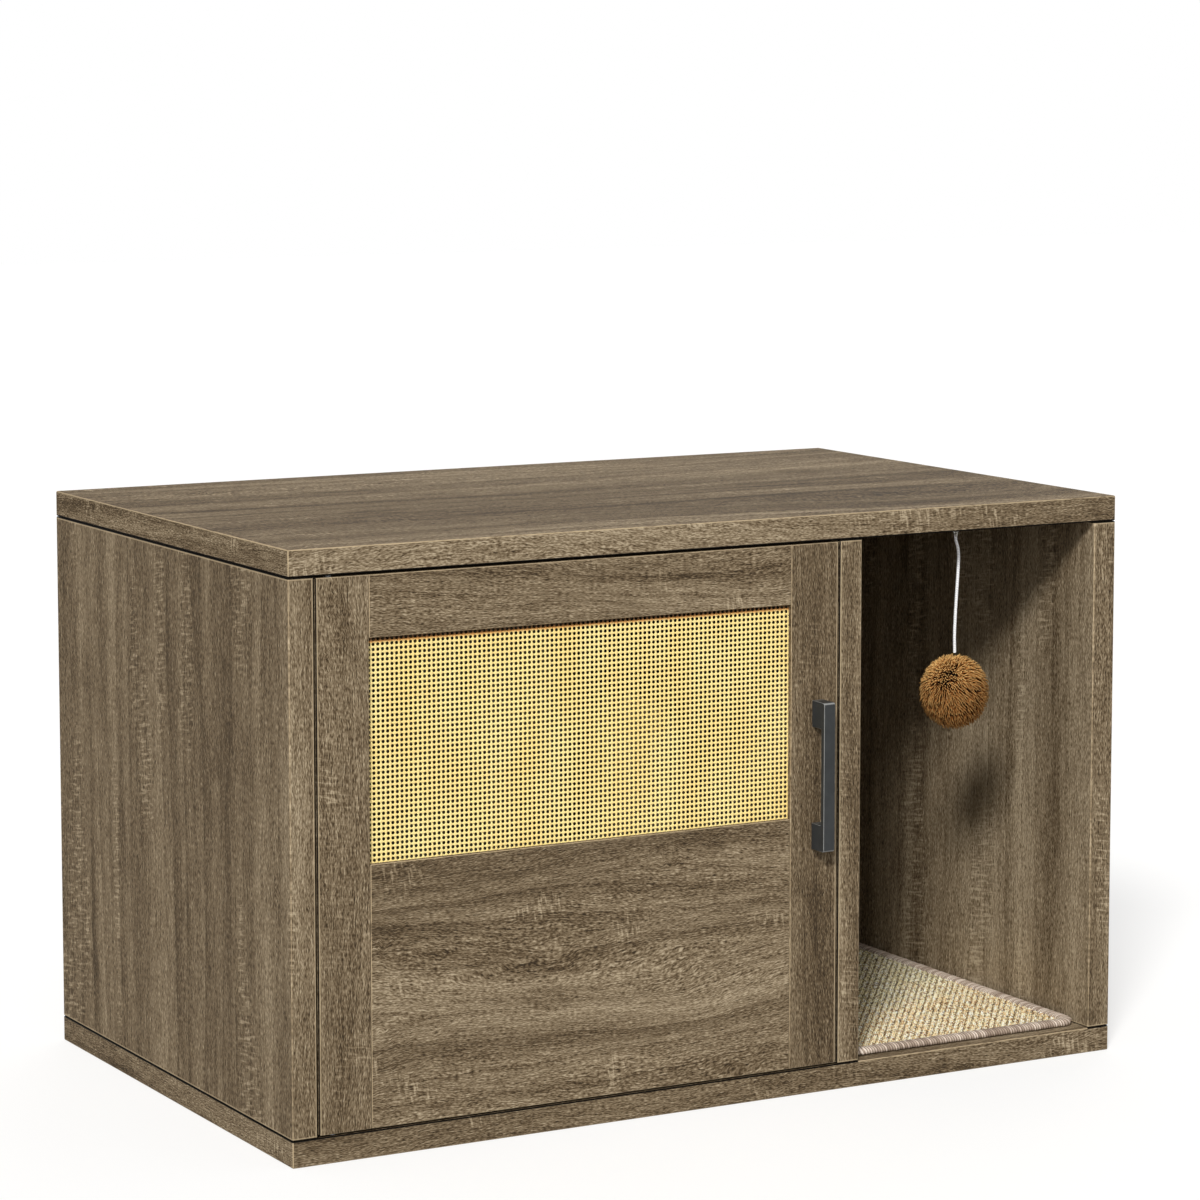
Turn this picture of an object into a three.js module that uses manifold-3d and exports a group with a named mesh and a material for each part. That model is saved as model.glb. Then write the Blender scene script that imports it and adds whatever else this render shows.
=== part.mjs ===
// Cat litter box cabinet: a boxed bench of thick boards with a hinged cane-fronted door on the
// left, an open entrance on the right with a scratching mat and a hanging pompom, and a passage
// through the divider between the two rooms.
//
// Millimetres. +X is to the right seen from the front, +Y to the rear, +Z up.
// The origin is on the floor, at the middle of the bottom panel's footprint.

import * as THREE from 'three';
import { RoundedBoxGeometry } from 'three/addons/geometries/RoundedBoxGeometry.js';
import { mergeGeometries, mergeVertices } from 'three/addons/utils/BufferGeometryUtils.js';
import Module from 'manifold-3d';

const wasm = await Module();
wasm.setup();

// ---------------------------------------------------------------------------
// Driving dimensions
// ---------------------------------------------------------------------------

// Carcass
const CABINET_WIDTH = 900;
const CABINET_DEPTH = 550;
const CABINET_HEIGHT = 560;
const BOARD_THICKNESS = 25;
const BOARD_ROUNDING = 1.3;
const ENTRANCE_WIDTH = 272.5;
const BACK_THICKNESS = 5;
const BACK_INSET = 10;
const BACK_GROOVE_DEPTH = 7;
const SEAT_GAP = 0.3;

// Passage through the divider
const PASSAGE_WIDTH = 200;
const PASSAGE_HEIGHT = 260;
const PASSAGE_SILL = 45;
const PASSAGE_FROM_BACK = 45;
const PASSAGE_CORNER_RADIUS = 70;

// Cam fittings between the top panel and the uprights
const CAM_RADIUS = 7.5;
const CAM_LENGTH = 17;
const CAM_SETBACK = 34;
const CAM_FRONT_DEPTH = 150;
const CAM_FROM_BACK = 45;
const CAM_SLOT_WIDTH = 1.6;
const CAM_SLOT_LENGTH = 9;
const CAM_SLOT_DEPTH = 1.5;
const BOLT_HEAD_RADIUS = 3.3;
const BOLT_HEAD_LENGTH = 5;
const BOLT_SHANK_RADIUS = 2.5;
const BOLT_THREAD_RADIUS = 3.3;
const BOLT_THREAD_LENGTH = 11;

// Long screws up through the bottom panel
const LONG_SCREW_HEAD_RADIUS = 5;
const LONG_SCREW_HEAD_LENGTH = 3;
const LONG_SCREW_NECK_RADIUS = 3.5;
const LONG_SCREW_THREAD_RADIUS = 3;
const LONG_SCREW_BITE = 32;
const LONG_SCREW_SINK = 0.8;
const LONG_SCREW_SOCKET_RADIUS = 2.3;
const LONG_SCREW_SOCKET_DEPTH = 2;
const LONG_SCREW_END_DISTANCE = 90;

// Door
const DOOR_THICKNESS = 18;
const DOOR_SIDE_GAP = 1.6;
const DOOR_END_GAP = 1.9;
const DOOR_EDGE_ROUNDING = 0.8;
const STILE_WIDTH = 52.5;
const TOP_RAIL_HEIGHT = 57;
const WINDOW_HEIGHT = 206;
const TONGUE_LENGTH = 8;
const TONGUE_THICKNESS = 6;
const TONGUE_MARGIN = 6;

// Cane webbing and the beads behind it
const CANE_RECESS = 5;
const CANE_THICKNESS = 1.2;
const CANE_TUCK = 10;
const CANE_MARGIN = 4;
const CANE_COLUMNS = 21;
const CANE_ROWS = 10;
const CANE_STRAND_SHARE = 0.42;
const RABBET_WIDTH = 12;
const BEAD_ROUNDING = 0.8;

// Door pivots
const PIVOT_FROM_EDGE = 14.5;
const PIVOT_FROM_FACE = 6;
const PIN_RADIUS = 2;
const PIN_SEAT_LENGTH = 12;
const PIN_COLLAR_RADIUS = 3.8;
const BUSH_RADIUS = 3.8;
const BUSH_LENGTH = 12;
const PIN_RUNNING_CLEARANCE = 0.15;

// Handle
const HANDLE_LENGTH = 144;
const HANDLE_WIDTH = 12.4;
const HANDLE_PROJECTION = 22.6;
const HANDLE_BAR_DEPTH = 5.8;
const HANDLE_FOOT_HEIGHT = 25.5;
const HANDLE_OUTER_RADIUS = 3;
const HANDLE_INNER_RADIUS = 1.5;
const HANDLE_BEVEL = 0.8;
const HANDLE_FROM_DOOR_EDGE = 23;
const HANDLE_CENTRE_HEIGHT = 311;

// Small screws
const SCREW_HEAD_RADIUS = 3.6;
const SCREW_HEAD_LENGTH = 2.2;
const SCREW_SHANK_RADIUS = 1.8;
const SCREW_CROWN_SHARE = 0.7;
const SCREW_RIM_SHARE = 0.4;
const SCREW_SLOT_SHARE = 0.6;
const SCREW_SLOT_WIDTH = 0.9;
const SCREW_SLOT_DEPTH = 1;
const HANDLE_SCREW_BITE = 9;
const CATCH_SCREW_BITE = 12;
const STRIKE_SCREW_BITE = 10;

// Magnetic catch and its strike plate
const CATCH_BODY_LENGTH = 30;
const CATCH_EAR_LENGTH = 10;
const CATCH_EAR_THICKNESS = 3;
const CATCH_HEIGHT = 13;
const CATCH_DEPTH = 15;
const CATCH_ROUNDING = 1;
const CATCH_FROM_DOOR_EDGE = 62;
const STRIKE_LENGTH = 34;
const STRIKE_HEIGHT = 12;
const STRIKE_THICKNESS = 1.2;

// Hanging toy
const TOY_FROM_FRONT = 42.5;
const EYE_RING_RADIUS = 2.8;
const EYE_WIRE_RADIUS = 0.8;
const EYE_DROP = 4.5;
const EYE_SHANK_LENGTH = 14;
const HANGING_RING_RADIUS = 2.4;
const HANGING_WIRE_RADIUS = 0.6;
const CORD_DIAMETER = 3;
const CORD_SIDES = 8;
const CORD_STEPS = 24;
const POMPOM_RADIUS = 35.5;
const POMPOM_HALF_HEIGHT = 38.3;

// The cord's slack curve: sideways offset and share of the way down, top to bottom.
const CORD_CURVE = [
  [0, 0],
  [0.25, 0.03],
  [2.6, 0.09],
  [3.6, 0.17],
  [3.1, 0.3],
  [1.6, 0.5],
  [0.3, 0.7],
  [-0.3, 0.86],
  [0, 0.97],
  [0, 1],
];
const CORD_LENGTH_DOWN = 114.5;

// Mat
const MAT_SIDE_GAP = 1.6;
const MAT_WALL_GAP = 3;
const MAT_FROM_FRONT = 12;
const MAT_LENGTH = 508;
const MAT_THICKNESS = 6;
const BINDING_WIDTH = 13;
const BINDING_HEIGHT = 8;
const BINDING_ROUNDING = 3.2;
const MAT_CORNER_RADIUS = 16;
const BINDING_INNER_RADIUS = 0.5;

// Facets on round work
const ROUND_SIDES = 16;
const CAM_SIDES = 12;
const FASTENER_SIDES = 8;
const WIRE_SIDES = 6;
const HEX_SIDES = 6;
const POMPOM_SIDES = 20;
const POMPOM_RINGS = 14;
const PASSAGE_CORNER_STEPS = 6;
const HANDLE_CORNER_STEPS = 4;
const HANDLE_BEVEL_STEPS = 2;
const BINDING_CORNER_STEPS = 3;
const BINDING_BEVEL_STEPS = 2;

// How close two corners of a solid are welded, and how far a through cut runs past a face
const WELD = 1e-4;
const OVERCUT = 1;

// ---------------------------------------------------------------------------
// Planes and places worked out from the sizes above
// ---------------------------------------------------------------------------

const LEFT = -CABINET_WIDTH / 2;
const RIGHT = CABINET_WIDTH / 2;
const FRONT = -CABINET_DEPTH / 2;
const REAR = CABINET_DEPTH / 2;
const FLOOR = BOARD_THICKNESS;
const CEILING = CABINET_HEIGHT - BOARD_THICKNESS;
const UPRIGHT_BOTTOM = FLOOR + SEAT_GAP;
const UPRIGHT_TOP = CEILING - SEAT_GAP;

const DIVIDER_RIGHT = RIGHT - BOARD_THICKNESS - ENTRANCE_WIDTH;
const DIVIDER_LEFT = DIVIDER_RIGHT - BOARD_THICKNESS;
const BACK_REAR = REAR - BACK_INSET;
const BACK_FRONT = BACK_REAR - BACK_THICKNESS;

const DOOR_LEFT = LEFT + BOARD_THICKNESS + DOOR_SIDE_GAP;
const DOOR_RIGHT = DIVIDER_LEFT - DOOR_SIDE_GAP;
const DOOR_BOTTOM = FLOOR + DOOR_END_GAP;
const DOOR_TOP = CEILING - DOOR_END_GAP;
const DOOR_BACK = FRONT + DOOR_THICKNESS;
const WINDOW_LEFT = DOOR_LEFT + STILE_WIDTH;
const WINDOW_RIGHT = DOOR_RIGHT - STILE_WIDTH;
const WINDOW_TOP = DOOR_TOP - TOP_RAIL_HEIGHT;
const WINDOW_BOTTOM = WINDOW_TOP - WINDOW_HEIGHT;
const CANE_FRONT = FRONT + CANE_RECESS + SEAT_GAP;
const CANE_BACK = CANE_FRONT + CANE_THICKNESS;

const PIVOT_X = DOOR_LEFT + PIVOT_FROM_EDGE;
const PIVOT_Y = FRONT + PIVOT_FROM_FACE;
const HANDLE_X = DOOR_RIGHT - HANDLE_FROM_DOOR_EDGE;
const HANDLE_LOW = HANDLE_CENTRE_HEIGHT - HANDLE_LENGTH / 2;
const HANDLE_HIGH = HANDLE_CENTRE_HEIGHT + HANDLE_LENGTH / 2;
const CATCH_X = DOOR_RIGHT - CATCH_FROM_DOOR_EDGE;
const STRIKE_FRONT = DOOR_BACK + SEAT_GAP;
const STRIKE_BACK = STRIKE_FRONT + STRIKE_THICKNESS;
const STRIKE_TOP = DOOR_TOP - DOOR_EDGE_ROUNDING;
const CATCH_FRONT = STRIKE_BACK + SCREW_HEAD_LENGTH + 2 * SEAT_GAP;

const TOY_X = (DIVIDER_RIGHT + RIGHT - BOARD_THICKNESS) / 2;
const TOY_Y = FRONT + TOY_FROM_FRONT;
const EYE_CENTRE = CEILING - EYE_DROP;
const EYE_SEAT = EYE_CENTRE - EYE_RING_RADIUS;
const HANGING_CENTRE = EYE_SEAT + EYE_WIRE_RADIUS + SEAT_GAP + HANGING_WIRE_RADIUS - HANGING_RING_RADIUS;
const HANGING_SEAT = HANGING_CENTRE - HANGING_RING_RADIUS;
const CORD_TOP = HANGING_SEAT - HANGING_WIRE_RADIUS - SEAT_GAP;
const CORD_BOTTOM = CORD_TOP - CORD_LENGTH_DOWN;
const POMPOM_CENTRE = CORD_BOTTOM - SEAT_GAP - POMPOM_HALF_HEIGHT;

const MAT_LEFT = DIVIDER_RIGHT + MAT_SIDE_GAP;
const MAT_RIGHT = RIGHT - BOARD_THICKNESS - MAT_WALL_GAP;
const MAT_FRONT = FRONT + MAT_FROM_FRONT;
const MAT_REAR = MAT_FRONT + MAT_LENGTH;
const MAT_BOTTOM = FLOOR + SEAT_GAP;

// The three upright boards. camSide tells which face the cam locks open on.
const UPRIGHTS = [
  { label: 'left', low: LEFT, high: LEFT + BOARD_THICKNESS, camSide: 1 },
  { label: 'divider', low: DIVIDER_LEFT, high: DIVIDER_RIGHT, camSide: -1 },
  { label: 'right', low: RIGHT - BOARD_THICKNESS, high: RIGHT, camSide: -1 },
];
const CAM_ROWS = [
  { label: 'front', y: FRONT + CAM_FRONT_DEPTH },
  { label: 'rear', y: BACK_FRONT - CAM_FROM_BACK },
];
const LONG_SCREW_ROWS = [
  { label: 'front', y: FRONT + LONG_SCREW_END_DISTANCE },
  { label: 'rear', y: REAR - LONG_SCREW_END_DISTANCE },
];

// ---------------------------------------------------------------------------
// Finishes
// ---------------------------------------------------------------------------

const FINISHES = {
  oak: { color: 0x83755f, roughness: 0.62, metalness: 0 },
  backSheet: { color: 0x8a7c66, roughness: 0.7, metalness: 0 },
  zinc: { color: 0xb4b4ae, roughness: 0.4, metalness: 0.9 },
  steel: { color: 0x8d8f92, roughness: 0.35, metalness: 0.95 },
  charcoal: { color: 0x2b2d31, roughness: 0.5, metalness: 0.4 },
  nylon: { color: 0xe8e6df, roughness: 0.5, metalness: 0 },
  cane: { color: 0xe9cf85, roughness: 0.6, metalness: 0 },
  cord: { color: 0xf2f0ea, roughness: 0.8, metalness: 0 },
  pompom: { color: 0xa8702f, roughness: 0.95, metalness: 0 },
  sisal: { color: 0xc9bb88, roughness: 0.95, metalness: 0 },
  binding: { color: 0xa08b7c, roughness: 0.95, metalness: 0 },
};

// ---------------------------------------------------------------------------
// Solids
// ---------------------------------------------------------------------------

const AXIS_TURNS = {
  x: new THREE.Euler(0, 0, -Math.PI / 2),
  y: new THREE.Euler(0, 0, 0),
  z: new THREE.Euler(Math.PI / 2, 0, 0),
};

// Makes a closed solid from a three.js geometry, after its turn and its move.
function solidFrom(geometry, place = [0, 0, 0], turn = AXIS_TURNS.y) {
  const bare = geometry.clone();
  bare.deleteAttribute('normal');
  bare.deleteAttribute('uv');
  bare.applyMatrix4(new THREE.Matrix4().makeRotationFromEuler(turn));
  bare.translate(...place);
  const merged = mergeVertices(bare, WELD);
  const corners = [];
  for (let i = 0; i < merged.index.count; i += 3) {
    const [a, b, c] = [0, 1, 2].map((step) => merged.index.getX(i + step));
    if (a !== b && b !== c && c !== a) {
      corners.push(a, b, c);
    }
  }
  return new wasm.Manifold(new wasm.Mesh({
    numProp: 3,
    vertProperties: new Float32Array(merged.attributes.position.array),
    triVerts: new Uint32Array(corners),
  }));
}

// A box between two corners, with rounded edges if asked.
function block(low, high, rounding = 0) {
  const size = high.map((value, axis) => value - low[axis]);
  const middle = high.map((value, axis) => (value + low[axis]) / 2);
  const shape = rounding > 0
    ? new RoundedBoxGeometry(...size, 1, rounding)
    : new THREE.BoxGeometry(...size);
  return solidFrom(shape, middle);
}

// The same box, larger by a clearance on every side: the room that a neighbour leaves it.
function roomFor(low, high, clearance = SEAT_GAP) {
  return block(low.map((value) => value - clearance), high.map((value) => value + clearance));
}

// A round bar along one axis. `centre` gives its other two coordinates, `from` and `to` its ends.
function bar(axis, centre, from, to, radius, sides = ROUND_SIDES) {
  const index = 'xyz'.indexOf(axis);
  const place = [...centre];
  place.splice(index, 0, (from + to) / 2);
  const shape = new THREE.CylinderGeometry(radius, radius, Math.abs(to - from), sides);
  return solidFrom(shape, place, AXIS_TURNS[axis]);
}

// A turned piece on the vertical axis. The profile is a list of [radius, height], bottom to top.
function turned(profile, place, sides = ROUND_SIDES, turn = AXIS_TURNS.z) {
  const points = profile.map(([radius, height]) => new THREE.Vector2(radius, height));
  return solidFrom(new THREE.LatheGeometry(points, sides), place, turn);
}

// A wire ring. `turn` lays its plane, which is X-Y before the turn.
function wireRing(ringRadius, wireRadius, place, turn) {
  const ring = new THREE.TorusGeometry(ringRadius, wireRadius, WIRE_SIDES, ROUND_SIDES);
  return solidFrom(ring, place, turn);
}

// The outline of a rectangle with round corners, on a shape or a path.
function roundedOutline(outline, low, high, radius) {
  outline.moveTo(low[0] + radius, low[1]);
  outline.lineTo(high[0] - radius, low[1]);
  outline.absarc(high[0] - radius, low[1] + radius, radius, -Math.PI / 2, 0);
  outline.lineTo(high[0], high[1] - radius);
  outline.absarc(high[0] - radius, high[1] - radius, radius, 0, Math.PI / 2);
  outline.lineTo(low[0] + radius, high[1]);
  outline.absarc(low[0] + radius, high[1] - radius, radius, Math.PI / 2, Math.PI);
  outline.lineTo(low[0], low[1] + radius);
  outline.absarc(low[0] + radius, low[1] + radius, radius, Math.PI, Math.PI * 1.5);
  return outline;
}

// Turns an extrusion so that its outline's axes and its depth lie along the given directions.
function along(geometry, outlineX, outlineY, depth) {
  const basis = new THREE.Matrix4().makeBasis(
    new THREE.Vector3(...outlineX),
    new THREE.Vector3(...outlineY),
    new THREE.Vector3(...depth),
  );
  return geometry.applyMatrix4(basis);
}

// Adds a named piece to a group, with its own finish, placed by its middle.
function addPiece(group, name, solid, finish) {
  const { numProp, vertProperties, triVerts } = solid.getMesh();
  const geometry = new THREE.BufferGeometry();
  const vertices = new THREE.BufferAttribute(new Float32Array(vertProperties), numProp);
  geometry.setAttribute('position', vertices);
  geometry.setIndex(new THREE.BufferAttribute(new Uint32Array(triVerts), 1));
  geometry.computeBoundingBox();
  const middle = geometry.boundingBox.getCenter(new THREE.Vector3());
  geometry.translate(-middle.x, -middle.y, -middle.z);
  geometry.computeVertexNormals();
  const mesh = new THREE.Mesh(geometry, new THREE.MeshStandardMaterial(FINISHES[finish]));
  mesh.name = name;
  mesh.position.copy(middle).sub(group.position);
  group.add(mesh);
}

// ---------------------------------------------------------------------------
// Fasteners
// ---------------------------------------------------------------------------

// A pan-head screw with a cross recess. Its head's seat is at the origin and it points up +Z.
function panScrew(shankLength) {
  const profile = [
    [0, -SCREW_HEAD_LENGTH],
    [SCREW_HEAD_RADIUS * SCREW_CROWN_SHARE, -SCREW_HEAD_LENGTH],
    [SCREW_HEAD_RADIUS, -SCREW_HEAD_LENGTH * SCREW_RIM_SHARE],
    [SCREW_HEAD_RADIUS, 0],
    [SCREW_SHANK_RADIUS, 0],
    [SCREW_SHANK_RADIUS, shankLength - SCREW_SHANK_RADIUS],
    [0, shankLength],
  ];
  const reach = SCREW_HEAD_RADIUS * SCREW_SLOT_SHARE;
  const half = SCREW_SLOT_WIDTH / 2;
  const outside = -SCREW_HEAD_LENGTH - SCREW_SLOT_DEPTH;
  const bottom = SCREW_SLOT_DEPTH - SCREW_HEAD_LENGTH;
  return turned(profile, [0, 0, 0], FASTENER_SIDES)
    .subtract(block([-reach, -half, outside], [reach, half, bottom]))
    .subtract(block([-half, -reach, outside], [half, reach, bottom]));
}

// Moves and turns a finished solid.
function placed(solid, place, turn) {
  const { vertProperties, triVerts } = solid.getMesh();
  const geometry = new THREE.BufferGeometry();
  geometry.setAttribute('position', new THREE.BufferAttribute(new Float32Array(vertProperties), 3));
  geometry.setIndex(new THREE.BufferAttribute(new Uint32Array(triVerts), 1));
  return solidFrom(geometry, place, turn);
}

// The two turns that point a screw forwards (-Y) and upwards (+Z).
const POINT_FORWARD = new THREE.Euler(Math.PI / 2, 0, 0);
const POINT_UP = new THREE.Euler(0, 0, 0);

// A cam lock in an upright: a drum with a mouth for the bolt's head and a cross slot in its face.
function camLock(upright, y) {
  const faceX = upright.camSide > 0 ? upright.high : upright.low;
  const z = UPRIGHT_TOP - CAM_SETBACK;
  const outer = faceX - upright.camSide * SEAT_GAP;
  const inner = faceX - upright.camSide * CAM_LENGTH;
  const middleX = (upright.low + upright.high) / 2;
  const mouthRadius = BOLT_HEAD_RADIUS + SEAT_GAP;
  const mouthLow = z - BOLT_HEAD_LENGTH / 2 - SEAT_GAP;
  const mouth = bar('z', [middleX, y], mouthLow, z + CAM_RADIUS * 2, mouthRadius, FASTENER_SIDES);
  const slotBottom = outer - upright.camSide * CAM_SLOT_DEPTH;
  const slotMouth = outer + upright.camSide * CAM_SLOT_DEPTH;
  const slotX = [Math.min(slotBottom, slotMouth), Math.max(slotBottom, slotMouth)];
  const reach = CAM_SLOT_LENGTH / 2;
  const half = CAM_SLOT_WIDTH / 2;
  return bar('x', [y, z], inner, outer, CAM_RADIUS, CAM_SIDES)
    .subtract(mouth)
    .subtract(block([slotX[0], y - reach, z - half], [slotX[1], y + reach, z + half]))
    .subtract(block([slotX[0], y - half, z - reach], [slotX[1], y + half, z + reach]));
}

// The bolt that hangs from the top panel into a cam lock.
function camBolt(upright, y) {
  const headBottom = UPRIGHT_TOP - CAM_SETBACK - BOLT_HEAD_LENGTH / 2;
  const profile = [
    [0, headBottom],
    [BOLT_HEAD_RADIUS, headBottom],
    [BOLT_HEAD_RADIUS, headBottom + BOLT_HEAD_LENGTH],
    [BOLT_SHANK_RADIUS, headBottom + BOLT_HEAD_LENGTH],
    [BOLT_SHANK_RADIUS, CEILING],
    [BOLT_THREAD_RADIUS, CEILING],
    [BOLT_THREAD_RADIUS, CEILING + BOLT_THREAD_LENGTH],
    [0, CEILING + BOLT_THREAD_LENGTH],
  ];
  return turned(profile, [(upright.low + upright.high) / 2, y, 0], FASTENER_SIDES);
}

// The bores that a cam lock and its bolt need in their upright.
function camBores(upright, y) {
  const faceX = upright.camSide > 0 ? upright.high : upright.low;
  const z = UPRIGHT_TOP - CAM_SETBACK;
  const bottom = faceX - upright.camSide * (CAM_LENGTH + SEAT_GAP);
  const mouth = faceX + upright.camSide * SEAT_GAP;
  const middleX = (upright.low + upright.high) / 2;
  const boltRadius = BOLT_HEAD_RADIUS + SEAT_GAP;
  return bar('x', [y, z], bottom, mouth, CAM_RADIUS + SEAT_GAP, CAM_SIDES)
    .add(bar('z', [middleX, y], z, UPRIGHT_TOP + SEAT_GAP, boltRadius, FASTENER_SIDES));
}

// A long screw from under the bottom panel into an upright's lower edge.
function longScrewProfile(clearance) {
  const headTop = LONG_SCREW_SINK + LONG_SCREW_HEAD_LENGTH;
  const tip = UPRIGHT_BOTTOM + LONG_SCREW_BITE;
  const start = clearance > 0 ? -clearance : LONG_SCREW_SINK;
  return [
    [0, start],
    [LONG_SCREW_HEAD_RADIUS + clearance, start],
    [LONG_SCREW_HEAD_RADIUS + clearance, headTop + clearance],
    [LONG_SCREW_NECK_RADIUS + clearance, headTop + clearance],
    [LONG_SCREW_NECK_RADIUS + clearance, FLOOR],
    [LONG_SCREW_THREAD_RADIUS + clearance, FLOOR + clearance],
    [LONG_SCREW_THREAD_RADIUS + clearance, tip + clearance],
    [0, tip + LONG_SCREW_THREAD_RADIUS + clearance],
  ];
}

function longScrew(upright, y) {
  const centre = [(upright.low + upright.high) / 2, y];
  const socketTop = LONG_SCREW_SINK + LONG_SCREW_SOCKET_DEPTH;
  return turned(longScrewProfile(0), [...centre, 0], FASTENER_SIDES)
    .subtract(bar('z', centre, 0, socketTop, LONG_SCREW_SOCKET_RADIUS, HEX_SIDES));
}

function longScrewBore(upright, y) {
  return turned(longScrewProfile(SEAT_GAP), [(upright.low + upright.high) / 2, y, 0], FASTENER_SIDES);
}

// Cuts from a board everything that one row of fittings on one upright needs.
function cutEach(solid, rows, makeCut) {
  let result = solid;
  for (const upright of UPRIGHTS) {
    for (const row of rows) {
      result = result.subtract(makeCut(upright, row.y));
    }
  }
  return result;
}

// ---------------------------------------------------------------------------
// Carcass
// ---------------------------------------------------------------------------

const BACK_LOW = [
  LEFT + BOARD_THICKNESS - BACK_GROOVE_DEPTH,
  BACK_FRONT,
  FLOOR - BACK_GROOVE_DEPTH,
];
const BACK_HIGH = [
  RIGHT - BOARD_THICKNESS + BACK_GROOVE_DEPTH,
  BACK_REAR,
  CEILING + BACK_GROOVE_DEPTH,
];

function topPanel() {
  const board = block([LEFT, FRONT, CEILING], [RIGHT, REAR, CABINET_HEIGHT], BOARD_ROUNDING)
    .subtract(roomFor(BACK_LOW, BACK_HIGH))
    .subtract(upperPinBore())
    .subtract(eyeBore())
    .subtract(catchScrewBore(-1))
    .subtract(catchScrewBore(1));
  const boreRadius = BOLT_THREAD_RADIUS + SEAT_GAP;
  const boreTop = CEILING + BOLT_THREAD_LENGTH + SEAT_GAP;
  return cutEach(board, CAM_ROWS, (upright, y) => {
    const middleX = (upright.low + upright.high) / 2;
    return bar('z', [middleX, y], CEILING - SEAT_GAP, boreTop, boreRadius, FASTENER_SIDES);
  });
}

function bottomPanel() {
  const board = block([LEFT, FRONT, 0], [RIGHT, REAR, FLOOR], BOARD_ROUNDING)
    .subtract(roomFor(BACK_LOW, BACK_HIGH))
    .subtract(lowerPinBore());
  return cutEach(board, LONG_SCREW_ROWS, longScrewBore);
}

// The blank of an upright, bored for its fittings. `rear` is how far back it runs.
function uprightBoard(upright, rear) {
  const low = [upright.low, FRONT, UPRIGHT_BOTTOM];
  const high = [upright.high, rear, UPRIGHT_TOP];
  let board = block(low, high, BOARD_ROUNDING).subtract(roomFor(BACK_LOW, BACK_HIGH));
  for (const row of CAM_ROWS) {
    board = board.subtract(camBores(upright, row.y));
  }
  for (const row of LONG_SCREW_ROWS) {
    board = board.subtract(longScrewBore(upright, row.y));
  }
  return board;
}

// The cat's way through the divider, near the back.
function passage() {
  const rear = BACK_FRONT - PASSAGE_FROM_BACK;
  const low = [rear - PASSAGE_WIDTH, FLOOR + PASSAGE_SILL];
  const high = [rear, FLOOR + PASSAGE_SILL + PASSAGE_HEIGHT];
  const outline = roundedOutline(new THREE.Shape(), low, high, PASSAGE_CORNER_RADIUS);
  const depth = BOARD_THICKNESS * 2;
  const geometry = new THREE.ExtrudeGeometry(outline, {
    depth,
    bevelEnabled: false,
    curveSegments: PASSAGE_CORNER_STEPS,
  });
  const middleX = (DIVIDER_LEFT + DIVIDER_RIGHT) / 2;
  const upright = along(geometry, [0, 1, 0], [0, 0, 1], [1, 0, 0]);
  return solidFrom(upright, [middleX - depth / 2, 0, 0]);
}

function makeCarcass() {
  const carcass = new THREE.Group();
  const [left, divider, right] = UPRIGHTS;
  addPiece(carcass, 'top_panel', topPanel(), 'oak');
  addPiece(carcass, 'bottom_panel', bottomPanel(), 'oak');
  addPiece(carcass, 'left_side_panel', uprightBoard(left, REAR), 'oak');
  addPiece(carcass, 'right_side_panel', uprightBoard(right, REAR), 'oak');
  const dividerBoard = uprightBoard(divider, BACK_FRONT - SEAT_GAP).subtract(passage());
  addPiece(carcass, 'divider_panel', dividerBoard, 'oak');
  addPiece(carcass, 'back_panel', block(BACK_LOW, BACK_HIGH), 'backSheet');
  for (const upright of UPRIGHTS) {
    for (const row of CAM_ROWS) {
      const place = `${upright.label}_${row.label}`;
      addPiece(carcass, `cam_lock_${place}`, camLock(upright, row.y), 'zinc');
      addPiece(carcass, `cam_bolt_${place}`, camBolt(upright, row.y), 'steel');
    }
    for (const row of LONG_SCREW_ROWS) {
      const place = `${upright.label}_${row.label}`;
      addPiece(carcass, `long_screw_${place}`, longScrew(upright, row.y), 'steel');
    }
  }
  return carcass;
}

// ---------------------------------------------------------------------------
// Door pivots: a pin in each end board, turning in a bush in the hinge stile
// ---------------------------------------------------------------------------

// A pin from its seat in a board, through its collar, to its end in the bush. Heights point
// away from the board's face.
function pivotPin(faceZ, direction) {
  const collarTop = DOOR_END_GAP - SEAT_GAP;
  const profile = [
    [0, -PIN_SEAT_LENGTH],
    [PIN_RADIUS, -PIN_SEAT_LENGTH],
    [PIN_RADIUS, SEAT_GAP],
    [PIN_COLLAR_RADIUS, SEAT_GAP],
    [PIN_COLLAR_RADIUS, collarTop],
    [PIN_RADIUS, collarTop],
    [PIN_RADIUS, DOOR_END_GAP + BUSH_LENGTH - PIN_RADIUS],
    [0, DOOR_END_GAP + BUSH_LENGTH],
  ];
  const turn = direction > 0 ? AXIS_TURNS.z : new THREE.Euler(-Math.PI / 2, 0, 0);
  return turned(profile, [PIVOT_X, PIVOT_Y, faceZ], ROUND_SIDES, turn);
}

function upperPinBore() {
  const depth = CEILING + PIN_SEAT_LENGTH + SEAT_GAP;
  return bar('z', [PIVOT_X, PIVOT_Y], CEILING - SEAT_GAP, depth, PIN_RADIUS + SEAT_GAP);
}

function lowerPinBore() {
  const depth = FLOOR - PIN_SEAT_LENGTH - SEAT_GAP;
  return bar('z', [PIVOT_X, PIVOT_Y], depth, FLOOR + SEAT_GAP, PIN_RADIUS + SEAT_GAP);
}

// A bush between two heights.
function pivotBush(low, high) {
  const boreRadius = PIN_RADIUS + PIN_RUNNING_CLEARANCE;
  return bar('z', [PIVOT_X, PIVOT_Y], low, high, BUSH_RADIUS)
    .subtract(bar('z', [PIVOT_X, PIVOT_Y], low - OVERCUT, high + OVERCUT, boreRadius));
}

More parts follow.
